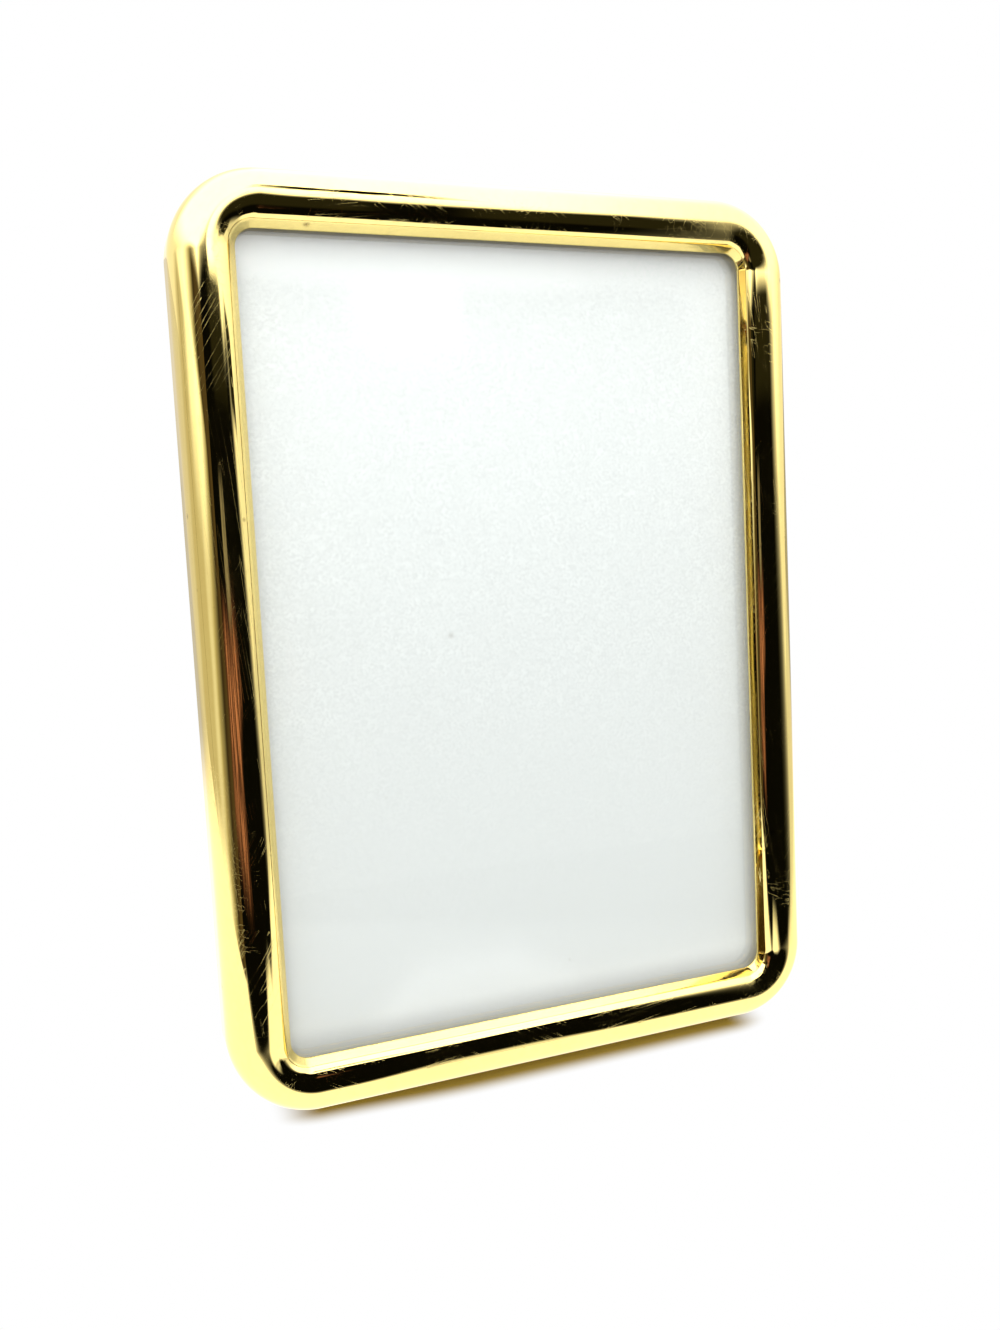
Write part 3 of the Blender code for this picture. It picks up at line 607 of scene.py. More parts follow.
def polished_brass(colours):
    """Lacquer-free polished brass: hairlines and pits, dull patches, and the slight waves of a pressing."""
    material, shader, here = new_material("hairlined_brass")
    run = add("UVMap", tree=material.node_tree, uv_map="run").outputs[0]
    tone = effect("clouds", run, scale=60.0, grain=0.5)
    scratches = effect("hairlines", run, spread=900.0, width=0.005, density=0.44)
    across, aslant = moved(run, rotation=(0, 0, QUARTER)), moved(run, rotation=(0, 0, 0.7))
    buffing = effect("hairlines", across, spread=1500.0, width=0.010, density=0.42)
    hatching = effect("hairlines", aslant, spread=5200.0, width=0.032, density=0.50)
    pits = effect("specks", here, scale=420.0, radius=0.22, share=0.06)
    spot = parts_of(run)
    rubbed = times(band(spot["X"], 0.108, 0.166, 0.014), band(spot["Y"], 0.0122, 0.0142, 0.0007), hatching)
    base = paint_over(colours.brass, (times(tone, 0.35), colours.brass_worn),
                      (times(pits, 0.7), (0.16, 0.09, 0.03)))
    rough = plus(remap(tone, 0.0, 1.0, 0.022, 0.055), times(scratches, 0.20), times(rubbed, 0.17))
    rough = calc("ADD", rough, times(buffing, 0.06), clamp=True)
    waves = noise(here, 45.0, detail=1.0)
    height = minus(times(waves, 12.0), plus(scratches, times(pits, 2.0)))
    finish_with(shader, base, rough, height, 0.003 * MM,
                {"Metallic": 1.0, "Specular Tint": (1.0, 0.94, 0.80, 1.0)})
    return material


def plain_metal(name, base, worn, roughness, spread):
    """Satin or bright metal of the small fittings, with fine scratches and tarnish in patches."""
    material, shader, here = new_material(name)
    base_worn = shaded(base, worn)
    tone = effect("clouds", here, scale=160.0, grain=0.6)
    scratches = effect("hairlines", here, spread=spread, width=0.03, density=0.5)
    pits = effect("specks", here, scale=900.0, radius=0.25, share=0.12)
    mixed = paint_over(base, (tone, base_worn), (times(pits, 0.6), shaded(base_worn, 0.35)))
    rough = remap(tone, 0.0, 1.0, roughness * 0.8, roughness * 1.25)
    rough = calc("ADD", rough, times(scratches, 0.12), clamp=True)
    height = minus(tone, plus(scratches, times(pits, 2.0)))
    finish_with(shader, mixed, rough, height, 0.004 * MM, {"Metallic": 1.0})
    return material


def clear_glass(colours):
    """Clear sheet glass that lets the light of lamps straight through, with faint smears."""
    material, shader, here = new_material("pane_glass")
    tree, tint = material.node_tree, rgba(colours.glass)
    finish_with(shader, tint, 0.0, noise(here, 18.0, detail=1.0), 0.002 * MM,
                {"Transmission Weight": 1.0, "IOR": 1.5})
    clear = add("BsdfTransparent", {0: tint}, tree).outputs[0]
    rays = add("LightPath", tree=tree).outputs
    through = most(rays["Is Shadow Ray"], rays["Is Diffuse Ray"])
    mixed = add("MixShader", {0: through, 1: shader.outputs[0], 2: clear}).outputs[0]
    feed(tree.nodes["Material Output"], {0: mixed})
    return material


def white_paper(colours):
    """Matt white card with a faint mottle, fibres and a few specks, and painted shade: darker towards its
    foot, with painted shadows along its foot and under its top edge.
    """
    material, shader, here = new_material("insert_paper")
    paper = colours.paper
    tone = effect("clouds", here, scale=70.0, grain=0.7)
    fibre = effect("fibres", here, scale=1400.0, length=7.0)
    spots = effect("specks", here, scale=170.0, radius=0.1, share=0.05)
    grain = remap(noise(here, 2200.0), 0.38, 0.62)
    mottle = remap(noise(here, 620.0), 0.35, 0.65)
    up = parts_of(here)["Z"]
    base = paint_over(paper,
                      (times(tone, 0.6), shaded(paper, 0.955)),
                      (times(grain, 0.9), shaded(paper, 0.87)),
                      (times(mottle, 0.6), shaded(paper, 0.93)),
                      # Painted shade: the card darkens towards its foot, a painted shadow lies along its
                      # foot, and a painted shadow lies under the moulding's top edge
                      (remap(up, 0.02, 0.08, 0.8, 0.0), shaded(paper, 0.91)),
                      (remap(up, 0.0095, 0.0140, 0.55, 0.0), (0.36, 0.37, 0.39)),
                      (remap(up, 0.1254, 0.1264, 0.0, 0.7), (0.30, 0.28, 0.24)),
                      (times(spots, 0.6), (0.5, 0.48, 0.44)))
    rough, height = remap(fibre, 0.0, 1.0, 0.62, 0.8), plus(fibre, times(tone, 2.0))
    finish_with(shader, base, rough, height, 0.004 * MM, {})
    return material


def softwood(name, colours, turn, stretch):
    """Bare planed softwood with its grain along the strip."""
    material, shader, here = new_material(name)
    along = moved(moved(here, rotation=(LEAN, 0, 0)), rotation=turn, scale=stretch)
    waves = {"Vector": along, "Scale": 130.0, "Distortion": 5.0, "Detail": 2.0, "Detail Scale": 1.5}
    rings = add("TexWave", waves, wave_type="BANDS", bands_direction="X").outputs[1]
    pores = noise(moved(along, scale=(1, 1, 0.3)), 1600.0)
    grain = plus(times(rings, 0.7), times(noise(along, 60.0), 0.4))
    base = paint_over(colours.wood, (remap(grain, 0.35, 1.0), colours.wood_dark),
                      (remap(pores, 0.6, 0.75), shaded(colours.wood_dark, 0.6)))
    finish_with(shader, base, remap(pores, 0.3, 0.7, 0.6, 0.8), minus(grain, pores), 0.03 * MM, {})
    return material


def velvet(colours):
    """Short dark pile: tufts, brushed patches painted lighter as a painted sheen, and a soft sheen."""
    material, shader, here = new_material("velvet_pile")
    brushed = effect("clouds", here, scale=55.0, grain=0.8)
    nap = effect("clouds", moved(here, scale=(1.0, 1.0, 0.35)), scale=260.0, grain=1.0)
    pile = effect("fibres", here, scale=2600.0, length=2.0)
    lint = effect("specks", here, scale=260.0, radius=0.1, share=0.04)
    lying = plus(times(brushed, 0.55), times(nap, 0.45))
    # Painted sheen: the brushed patches and nap are the pile's own lie, and painting them lighter stands in
    # for the light they catch
    catching = calc("MULTIPLY", remap(lying, 0.25, 0.8), plus(pile, 0.35), clamp=True)
    base = paint_over(colours.velvet, (catching, colours.velvet_light),
                      (times(lint, 0.35), (0.3, 0.3, 0.3)))
    finish_with(shader, base, remap(pile, 0.0, 1.0, 0.75, 1.0), plus(pile, times(lying, 2.0)), 0.12 * MM,
                {"Sheen Weight": 0.16, "Sheen Roughness": 0.3, "Sheen Tint": (0.5, 0.5, 0.55, 1.0),
                 "Specular IOR Level": 0.12})
    return material


def board(name, colour, dark, scale, gloss):
    """Pressed fibre or lined card: mottled, with short fibres and rubbed spots."""
    material, shader, here = new_material(name)
    tone = effect("clouds", here, scale=scale / 12, grain=0.8)
    fibre = effect("fibres", here, scale=scale, length=5.0)
    rubs = effect("specks", here, scale=scale / 4, radius=0.25, share=0.15)
    base = paint_over(colour, (times(plus(tone, fibre), 0.5), shaded(colour, dark)),
                      (times(rubs, 0.3), [min(1, part * 2.2) for part in colour]))
    rough = remap(fibre, 0.0, 1.0, gloss, gloss + 0.2)
    finish_with(shader, base, rough, plus(fibre, tone), 0.03 * MM, {})
    return material


# Pieces

def moulding_section(sizes):
    """The pressed sheet's closed section, as (inset, depth) points."""
    rise = sizes.depth - sizes.wall
    run_in = sizes.hem_inset - sizes.crown
    hem_back = sizes.hem_depth - sizes.hem
    drop = sizes.depth - sizes.hem_depth - sizes.hem
    shoulder = (sizes.crown, sizes.wall)
    slope = (sizes.crown, sizes.depth - drop)
    slope_end, hem_start = math.radians(20.35), math.radians(27.9)
    outside = [(0, 0), (0, sizes.wall / 2)]
    outside += arc(shoulder, (sizes.crown, rise), math.pi, QUARTER, 36)
    outside += arc(slope, (run_in, drop), QUARTER, slope_end, 26)[1:]
    hem = arc((sizes.hem_inset, sizes.hem_depth), (sizes.hem, sizes.hem), hem_start, -QUARTER, 12)
    last, first = outside[-1], hem[0]
    outside += [tuple(a + (b - a) * share for a, b in zip(last, first)) for share in (0.1, 0.5, 0.9)]
    flange, hem_top = sizes.hem_inset - sizes.hem_return, hem_back + sizes.sheet
    hem += [(flange, hem_back), (flange, hem_top), (sizes.hem_inset - sizes.sheet, hem_top)]
    inside = arc(slope, (run_in - sizes.sheet, drop - sizes.sheet), 0, QUARTER, 12)
    inside += arc(shoulder, (sizes.crown - sizes.sheet, rise - sizes.sheet), QUARTER, math.pi, 12)[1:]
    inside += [(sizes.sheet, 0)]
    return outside + hem + inside


def straights(sizes):
    """Half the length of the moulding's straight parts, across and upwards."""
    return sizes.width / 2 - sizes.corner, sizes.height / 2 - sizes.corner


def unwrap_along_run(piece, sizes, section):
    """A UV map in metres: along the moulding's crown, and across its section."""
    across, total = [], 0.0
    for last, point in zip([section[0]] + section, section):
        total += math.dist(last, point)
        across.append(total)
    straight_x, straight_z = straights(sizes)
    bend = (sizes.corner - sizes.crown) * QUARTER
    quarter_run = straight_x + straight_z + bend
    perimeter = 4 * quarter_run

    def run_of(x, z):
        """(along, inset) of a point, measured from the middle of the frame."""
        side_x, side_z = abs(x), abs(z)
        if side_z <= straight_z:
            along, inset = straight_x + bend + straight_z - side_z, sizes.width / 2 - side_x
        elif side_x <= straight_x:
            along, inset = side_x, sizes.height / 2 - side_z
        else:
            turn = math.atan2(side_x - straight_x, side_z - straight_z)
            inset = sizes.corner - math.hypot(side_x - straight_x, side_z - straight_z)
            along = straight_x + bend * turn / QUARTER
        if z < 0:
            along = 2 * quarter_run - along
        return (along if x >= 0 else -along), inset

    layer = piece.data.uv_layers.new(name="run")
    places = []
    for vert in piece.data.vertices:
        along, inset = run_of(vert.co.x, vert.co.z - sizes.height / 2)
        nearest = min(range(len(section)),
                      key=lambda i: (section[i][0] - inset) ** 2 + (section[i][1] + vert.co.y) ** 2)
        places.append((along, across[nearest]))
    for face in piece.data.polygons:
        corners = [places[i] for i in face.vertices]
        middle = corners[0][0]
        for loop, (along, inwards) in zip(face.loop_indices, corners):
            turns = round((middle - along) / perimeter)
            layer.data[loop].uv = ((along + turns * perimeter) + perimeter / 2, inwards)


def draw_in_corners(piece, sizes):
    """Give the sight opening tighter corners than concentric ones, which the outer edge keeps."""
    straight_x, straight_z = straights(sizes)
    for vert in piece.data.vertices:
        side_z = vert.co.z - sizes.height / 2
        over_x, over_z = abs(vert.co.x) - straight_x, abs(side_z) - straight_z
        radius = math.hypot(over_x, over_z)
        if min(over_x, over_z) < -0.001 * MM or radius < MM:
            continue
        draw = sizes.corner_draw * ((sizes.corner - radius) / (sizes.hem_inset + sizes.hem)) ** 2
        share = (radius - draw) / radius
        vert.co.x = math.copysign(straight_x + draw + over_x * share, vert.co.x)
        vert.co.z = sizes.height / 2 + math.copysign(straight_z + draw + over_z * share, side_z)


def make_moulding(sizes, material):
    """A quarter of the moulding, run along half of two sides and round one corner, then mirrored twice."""
    section = moulding_section(sizes)
    straight_x, straight_z = straights(sizes)
    half_height = sizes.height / 2
    piece = new_piece("brass_moulding")
    draw_line(piece, [(0, -depth, half_height - inset) for inset, depth in section])
    select_mesh()
    extrude((straight_x, 0, 0))
    corner = (straight_x, 0, straight_z)
    bpy.ops.mesh.spin(steps=40, angle=-QUARTER, center=corner, axis=(0, 1, 0), use_auto_merge=False)
    extrude((0, 0, -straight_z))
    set_mode("OBJECT")
    apply_modifier(piece, "MIRROR", use_axis=(True, False, True), merge_threshold=0.01 * MM)
    place(piece, spot=(0, 0, half_height))
    set_mode("EDIT")
    close_up()
    unwrap_along_run(piece, sizes, section)
    draw_in_corners(piece, sizes)
    smooth(piece, math.radians(30))
    lean(piece)
    finish_piece(piece, "frame", "polished_brass", material, "moulding_shell")


def make_pane(sizes, material):
    """The glass, with its edges ground off."""
    half_width = sizes.print_width / 2
    low = (-half_width, -sizes.glass_front, (sizes.height - sizes.print_height) / 2)
    high = (half_width, sizes.glass - sizes.glass_front, (sizes.height + sizes.print_height) / 2)
    piece = block("ground_edge_pane", low, high)
    round_edges(piece, sizes.arris, segments=1)
    lean(piece)
    finish_piece(piece, "frame", "clear_glass", material, "glass_pane")


def dress_node(node, material):
    """A CAD node whose shape is right gets its finish."""
    for slot in frame["nodes"][node].material_slots:
        slot.material = material


def cloth_grid(low, high):
    """In edit mode, cut a flat cloth into small squares, so that it can lie unevenly."""
    for axis, normal in ((0, (1, 0, 0)), (2, (0, 0, 1))):
        run = high[axis] - low[axis]
        count = round(run / (1.5 * MM))
        for i in range(1, count):
            spot = [0, 0, 0]
            spot[axis] = low[axis] + run * i / count
            select_mesh()
            bpy.ops.mesh.bisect(plane_co=spot, plane_no=normal)


def wrap_cloth(name, outline, back_y, edge, thickness, wave):
    """Cloth glued over a board: a slightly uneven back face, and an edge turned forwards all round."""
    piece = new_piece(name)
    draw_line(piece, [(x, back_y, z) for x, z in outline])
    select_mesh()
    bpy.ops.mesh.edge_face_add()
    cloth_grid(*((end(x for x, z in outline), back_y, end(z for x, z in outline)) for end in (min, max)))
    pick(piece, "edges", lambda item: item.is_boundary)
    turn_in = 0.35 * MM
    extrude((0, -turn_in, 0))
    extrude((0, turn_in - edge, 0))
    face_outwards()
    for vert in piece.data.vertices:
        if abs(vert.co.y - back_y) < 0.01 * MM:
            x, z = vert.co.x / MM, vert.co.z / MM
            swell = math.sin(x * 0.31 + math.sin(z * 0.17) * 2) * math.sin(z * 0.23 + x * 0.05)
            vert.co.y -= wave * (1 + swell) / 2
    round_edges(piece, 0.3 * MM, angle=math.radians(50))
    apply_modifier(piece, "SOLIDIFY", thickness=thickness, offset=-1.0)
    smooth(piece, math.radians(60))
    return piece


def ring(radius, points):
    """A circle about the origin."""
    return arc((0, 0), (radius, radius), 0, TURN * (points - 1) / points, points - 1)


def rounded_rectangle(width, height, radius):
    """A rectangle about the origin, anticlockwise from its right side."""
    points = []
    for quarter, (side_x, side_z) in enumerate(((1, 1), (-1, 1), (-1, -1), (1, -1))):
        centre = (side_x * (width / 2 - radius), side_z * (height / 2 - radius))
        points += arc(centre, (radius, radius), quarter * QUARTER, (quarter + 1) * QUARTER, 8)
    return points


def make_back_cloth(sizes, back, material):
    """The velvet over the board's back, with its edges turned in."""
    outline = rounded_rectangle(sizes.print_width, sizes.print_height, back.back_corner)
    outline = [(x, z + sizes.height / 2) for x, z in outline]
    piece = wrap_cloth("velvet_on_back", outline, -back.back_face, back.velvet_edge, back.velvet, 0.12 * MM)
    lean(piece)
    finish_piece(piece, "frame", "black_velvet", material, "back_velvet")


def make_strut_cloth(back, material):
    """The velvet over the strut's back and edges, open towards the frame and cut level with the floor."""
    top = -back.knuckle - LAYER_GAP
    radius = STRUT_CORNER
    half_foot = back.strut_top + back.strut_flare * (top - STRUT_END)
    right = arc((back.strut_top - radius, top - radius), (radius, radius), 0, QUARTER, 8)
    left = arc((radius - back.strut_top, top - radius), (radius, radius), QUARTER, math.pi, 8)
    outline = [(half_foot, STRUT_END)] + right + left + [(-half_foot, STRUT_END)]
    piece = wrap_cloth("velvet_on_strut", outline, STRUT_FACE, STRUT_WRAP, back.velvet, 0.1 * MM)
    tilt(piece)
    set_mode("EDIT")
    select_mesh()
    bpy.ops.mesh.bisect(plane_co=(0, 0, 0.3 * MM), plane_no=(0, 0, 1), clear_inner=True, use_fill=True)
    set_mode("OBJECT")
    finish_piece(piece, "strut", "black_velvet", material, "strut_velvet")


def fitting_spot(sizes, back, y):
    """Where the lower left screw stands, at a depth."""
    return back.button_inset - sizes.width / 2, y, (sizes.height - back.button_spacing) / 2


def make_turn_buttons(sizes, back, brass):
    """Four stamped turn-buttons, made once, each on its own body."""
    spread = QUARTER - math.asin((back.button_head - back.button_tip) / back.button_run)
    head = arc((0, 0), (back.button_head, back.button_head), spread, TURN - spread, 30)
    tip = arc((back.button_run, 0), (back.button_tip, back.button_tip), -spread, spread, 20)
    hole = ring(back.screw_shank + HOLE_GAP, 32)
    first = plate("button_left_lower", [head + tip, hole], back.button, "Y")
    round_edges(first, 0.14 * MM)
    smooth_plate(first)
    place(first, spot=fitting_spot(sizes, back, SEAT_Y - back.button / 2))
    four_of(first, back.button_spacing, None, "button_brass", brass, "turn_")


def make_screws(sizes, back, steel):
    """Four slotted pan-head screws, made once."""
    edge, under, top = 0.3 * MM, LAYER_GAP, LAYER_GAP + back.screw_rise
    crown = dome(under + edge, back.screw_head, back.screw_rise - edge, 16)
    shank = [(back.screw_head, under), (back.screw_shank, under)]
    shank += [(back.screw_shank, 1.2 * MM - back.screw_length), (0, -back.screw_length)]
    first = turned("screw_left_lower", crown + shank)
    half_slot, past = back.slot_width / 2, 3 * MM
    combine(first, block("slot", (-past, -half_slot, top - back.slot_depth), (past, half_slot, past)))
    round_edges(first, 0.04 * MM, segments=2)
    smooth_plate(first)
    turn = Matrix.Rotation(-QUARTER, 3, "X") @ Matrix.Rotation(0.6, 3, "Z")
    place(first, turn, fitting_spot(sizes, back, SEAT_Y))
    four_of(first, back.button_spacing, "frame", "bright_steel", steel, "turn_button_")


def leaf_outline(back, step):
    """A hinge leaf from its side about the pin, as (y, z): a rolled knuckle, and a plate up from it."""
    outer, inner, tip = back.knuckle, back.knuckle - back.leaf, back.leaf_length
    start = outer + LAYER_GAP
    bend = back.leaf * math.tan(math.atan2(step, back.leaf_bend) / 2)
    ease = [(i / 10, step * (3 - i / 5) * (i / 10) ** 2) for i in range(11)]
    front = [(start + back.leaf_bend * along, outer + rise) for along, rise in reversed(ease)]
    rear = [(start + bend + back.leaf_bend * along, inner + rise) for along, rise in ease]
    roll = arc((0, 0), (outer, outer), QUARTER, TURN + math.asin(inner / outer), 48)
    points = [(tip, outer + step)] + front + roll + rear + [(tip, inner + step)]
    return [(-forwards, up) for up, forwards in points]


def round_corners(piece, tip, reach, radius):
    """Round a plate's two far corners, where it is widest and furthest from the pin."""
    use_only(piece)
    set_mode("EDIT")

    def at_corner(edge):
        """Whether an edge runs through the plate's thickness at one of those corners."""
        ends = [vert.co for vert in edge.verts]
        far = all(abs(abs(co.x) - reach) < 0.01 * MM and abs(co.z - tip) < 0.01 * MM for co in ends)
        return far and abs(ends[0].y - ends[1].y) > 0.1 * MM

    pick(piece, "edges", at_corner)
    bpy.ops.mesh.bevel(offset=radius, segments=6)
    set_mode("OBJECT")


def drill(piece, spots, radius):
    """Round holes from front to back."""
    for x, z in spots:
        combine(piece, add_shape(bpy.ops.mesh.primitive_cylinder_add, "drill", vertices=32, radius=radius,
                                 depth=2 * THROUGH, location=(x, 0, z), rotation=(QUARTER, 0, 0)))


def blank_leaf(name, back, step, rivet_x):
    """A leaf as it is rolled: the knuckle as wide as the plate, with its rivet holes."""
    piece = plate(name, [leaf_outline(back, step), ring(back.pin + BORE_GAP, 48)], back.leaf_width, "X")
    round_corners(piece, back.leaf_length, back.leaf_width / 2, back.leaf_corner)
    drill(piece, [(-rivet_x, RIVET_UP), (rivet_x, RIVET_UP)], back.rivet + HOLE_GAP)
    return piece


def finish_leaf(piece, stand, body, material, node):
    """Round a leaf's edges and put it where it stands."""
    round_edges(piece, 0.1 * MM)
    smooth_plate(piece)
    stand(piece)
    finish_piece(piece, body, "brassed_steel", material, node)


def lean_at_pin(piece, back):
    """From about the hinge pin to where the frame carries it."""
    place(piece, spot=(0, back.pin_depth, back.hinge_height))
    lean(piece)


def make_back_leaf(back, material):
    """The leaf on the back: two knuckles, with a gap for the strut's knuckle and stop tab."""
    piece = blank_leaf("back_leaf", back, back.leaf_step, BACK_RIVET_X)
    half_gap, past_bend = back.knuckle_width / 2 + LAYER_GAP, 0.9 * MM
    gap_top = back.knuckle + back.leaf_bend + past_bend
    combine(piece, block("gap", (-half_gap, -THROUGH, -THROUGH), (half_gap, THROUGH, gap_top)))
    finish_leaf(piece, lambda leaf: lean_at_pin(leaf, back), "frame", material, "hinge_back_leaf")


def make_strut_leaf(back, material):
    """The leaf on the strut: one knuckle, and a tab that meets the back leaf when the strut is open."""
    piece = blank_leaf("strut_leaf", back, 0.0, STRUT_RIVET_X)
    place(piece, Matrix.Rotation(math.pi, 3, "X"))
    inner, outer, start = back.knuckle_width / 2, back.leaf_width, -back.knuckle - LAYER_GAP
    for near, far in ((-outer, -inner), (inner, outer)):
        combine(piece, block("relief", (near, -THROUGH, start), (far, THROUGH, THROUGH)))
    half = back.tab_width / 2
    outer_y, inner_y = 0.05 * MM - back.knuckle, back.leaf - back.knuckle
    tab = block("tab", (-half, outer_y, 0), (half, inner_y, back.tab_length))
    round_corners(tab, back.tab_length, half, back.leaf_corner)
    place(tab, Matrix.Rotation(-LEAN - STRUT_TILT, 3, "X"))
    combine(piece, tab, "UNION")
    finish_leaf(piece, tilt, "strut", material, "hinge_strut_leaf")


def make_pin(back, material):
    """The hinge pin, with domed ends."""
    rise, end = 0.3 * MM, back.leaf_width / 2 + 0.4 * MM
    top = dome(end - rise, back.pin, rise, 8)
    piece = turned("pin", top + [(radius, -height) for radius, height in reversed(top)])
    smooth(piece)
    place(piece, Matrix.Rotation(QUARTER, 3, "Y"))
    lean_at_pin(piece, back)
    finish_piece(piece, "frame", "bright_steel", material, "hinge_pin")


def make_rivets(part, body, back, seat, grip, stand, material):
    """A pair of domed rivets, made once: the head behind the leaf, the clinched end in the board."""
    x, y, z = seat
    edge = 0.08 * MM
    head = dome(LAYER_GAP + edge, back.rivet_head, back.rivet_rise - edge, 14)
    clinch = -grip - 0.1 * MM
    end = clinch - 0.35 * MM
    tail = [(back.rivet_head, LAYER_GAP), (back.rivet, LAYER_GAP), (back.rivet, clinch)]
    tail += [(back.rivet_clinch, clinch), (back.rivet_clinch, end), (0, end)]
    first = turned(f"rivet_{part}_left", head + tail)
    smooth(first)
    place(first, Matrix.Rotation(-QUARTER, 3, "X"), (-x, y, z))
    pieces = {"left": first, "right": copy_of(first, f"rivet_{part}_right", (2 * x, 0, 0))}
    for side, piece in pieces.items():
        stand(piece)
        finish_piece(piece, body, "brassed_steel", material, f"{part}_rivet_{side}")


# Stage

def make_floor():
    """A wide pale floor that keeps the frame's shadow near it and runs out to white, with a painted brown
    shadow along the frame's front foot.
    """
    floor = add_shape(bpy.ops.mesh.primitive_plane_add, "floor", size=12.0, location=(0, 0, 0))
    material = bpy.data.materials.new("pale_floor")
    tree = empty_tree(material)
    spot = parts_of(add("TexCoord", tree=tree).outputs["Object"])
    x, y = spot["X"], spot["Y"]
    rays = add("LightPath", tree=tree).outputs
    seen = plus(rays["Is Camera Ray"], rays["Is Glossy Ray"])
    seen = calc("ADD", seen, rays["Is Transmission Ray"], clamp=True)
    # How far outside the frame's own patch of floor, as shares of the reach on each side
    aside = over(minus(calc("ABSOLUTE", x), 0.036), 0.008)
    edge = remap(x, -0.040, -0.010, 0.0250, 0.0262)
    edge = minus(edge, times(rays["Is Glossy Ray"], 0.0018))
    before = over(minus(times(y, -1.0), edge), 0.0034)
    behind = over(minus(y, 0.030), 0.020)
    along = most(before, behind, 0.0)
    away = add("CombineXYZ", {0: most(aside, 0.0), 1: along}).outputs[0]
    away = add("VectorMath", {0: away}, operation="LENGTH").outputs["Value"]
    fade = times(remap(away, 0.0, 1.0), seen)
    # Painted shadow: the floor's paint turns dark brown along the frame's front foot
    painted_shadow = remap(before, -1.9, -0.5)
    paint = blend_colours(painted_shadow, (0.88, 0.86, 0.83), (0.40, 0.31, 0.09))
    paint = blend_colours(rays["Is Diffuse Ray"], paint, (0.50, 0.50, 0.50))
    near = add("BsdfDiffuse", {0: paint}).outputs[0]
    # Painted reflection: to glossy rays the floor glows brighter in front of the frame than behind it,
    # dimmer far to the right, and with a dimmer patch behind on the left
    bright = remap(y, 0.045, 0.13, 1.55, 0.82)
    left = plus(remap(x, -0.14, -0.08, 1.0, 0.76), remap(x, -0.05, 0.02, 0.0, 0.24))
    left = mix(remap(y, 0.08, 0.14), 1.0, left)
    bright = times(bright, times(left, remap(x, 0.10, 0.19, 1.0, 0.58)))
    level = mix(rays["Is Glossy Ray"], 1.0, bright)
    far = add("Emission", {0: WHITE, 1: level}).outputs[0]
    put_out(add("MixShader", {0: fade, 1: near, 2: far}).outputs[0])
    floor.data.materials.append(material)


def make_card(name, middle, size, turn, tone_of, cover_of):
    """A standing card that only reflections show: its glow, and how much of it is there at each place."""
    material = bpy.data.materials.new(name)
    tree = empty_tree(material)
    on_card = add("TexCoord", tree=tree).outputs["Object"]
    spot = parts_of(on_card)
    glow = add("Emission", {0: tone_of(spot, on_card), 1: 1.0}, tree).outputs[0]
    clear = add("BsdfTransparent", tree=tree).outputs[0]
    put_out(add("MixShader", {0: cover_of(spot), 1: clear, 2: glow}).outputs[0])
    card = add_shape(bpy.ops.mesh.primitive_plane_add, name, size=1.0)
    card.scale = (*size, 1.0)
    set_in_mesh()
    place(card, turn, middle)
    card.data.materials.append(material)
    card.visible_camera = card.visible_diffuse = card.visible_shadow = card.visible_transmission = False


def front_tone(spot, on_card):
    """A painted reflection for the front card: near black, with a warm streaked patch low on the left."""
    x, z = spot["X"], spot["Z"]
    streaks = noise(moved(on_card, scale=(1.0, 1.0, 0.2)), 190.0, detail=3.0, distortion=0.8)
    patch = noise(on_card, 60.0, detail=1.0)
    right_end = plus(x, remap(z, 0.062, 0.082, 0.024, 0.0))
    # Painted reflection: a warm streaked glow and a pale patch that only the brass shows
    warm = times(band(right_end, -0.13, -0.020, 0.012), band(z, 0.040, 0.095, 0.012),
                 remap(streaks, 0.46, 0.60, 0.16, 1.0), remap(patch, 0.3, 0.6, 0.5, 1.0))
    pale = times(band(x, -0.071, -0.036, 0.004), band(z, 0.098, 0.128, 0.006),
                 remap(streaks, 0.40, 0.58, 0.35, 1.0))
    brown = times(fall(x, -0.15, -0.115), band(z, 0.04, 0.095, 0.015))
    return paint_over((0.003, 0.003, 0.002), (warm, (0.74, 0.32, 0.25)), (pale, (0.34, 0.31, 0.28)),
                      (brown, (0.10, 0.05, 0.03)))


def front_cover(spot):
    """A low gap over the floor, a right end that thins out slowly, and a thin ragged bar above."""
    x, z = spot["X"], spot["Z"]
    top = minus(z, plus(remap(x, -0.030, -0.008, 0.027, 0.0), remap(x, 0.035, 0.085, 0.0, 0.014)))
    gap = plus(remap(x, -0.018, 0.004, 0.0, 0.014), remap(x, 0.078, 0.092, 0.0, 0.004))
    foot = minus(z, minus(gap, remap(x, 0.020, 0.045, 0.0, 0.009)))
    right = over(minus(x, 0.075), remap(z, 0.05, 0.13, 0.20, 0.075, kind="LINEAR"))
    cover = times(fall(top, 0.154, 0.176), remap(foot, -0.004, 0.007), fall(right, 0.0, 1.0))
    ragged = minus(noise(add("CombineXYZ", {0: x}).outputs[0], 110.0), 0.5)
    bar = times(band(plus(z, times(ragged, 0.035)), 0.216, 0.277, 0.008), band(x, -0.012, 0.040, 0.012))
    return most(cover, bar)


def upper_tone(_spot, _on_card):
    """A painted reflection for the upper card: the same near black all over."""
    return (0.020, 0.019, 0.010, 1.0)


def upper_cover(spot):
    """Two low strips with soft edges, one before each upper corner of the frame."""
    x, z = spot["X"], spot["Z"]
    strips = plus(band(x, -0.046, -0.011, 0.005), band(x, 0.008, 0.057, 0.005))
    return times(strips, fall(z, 0.1405, 0.147), remap(z, 0.116, 0.124))


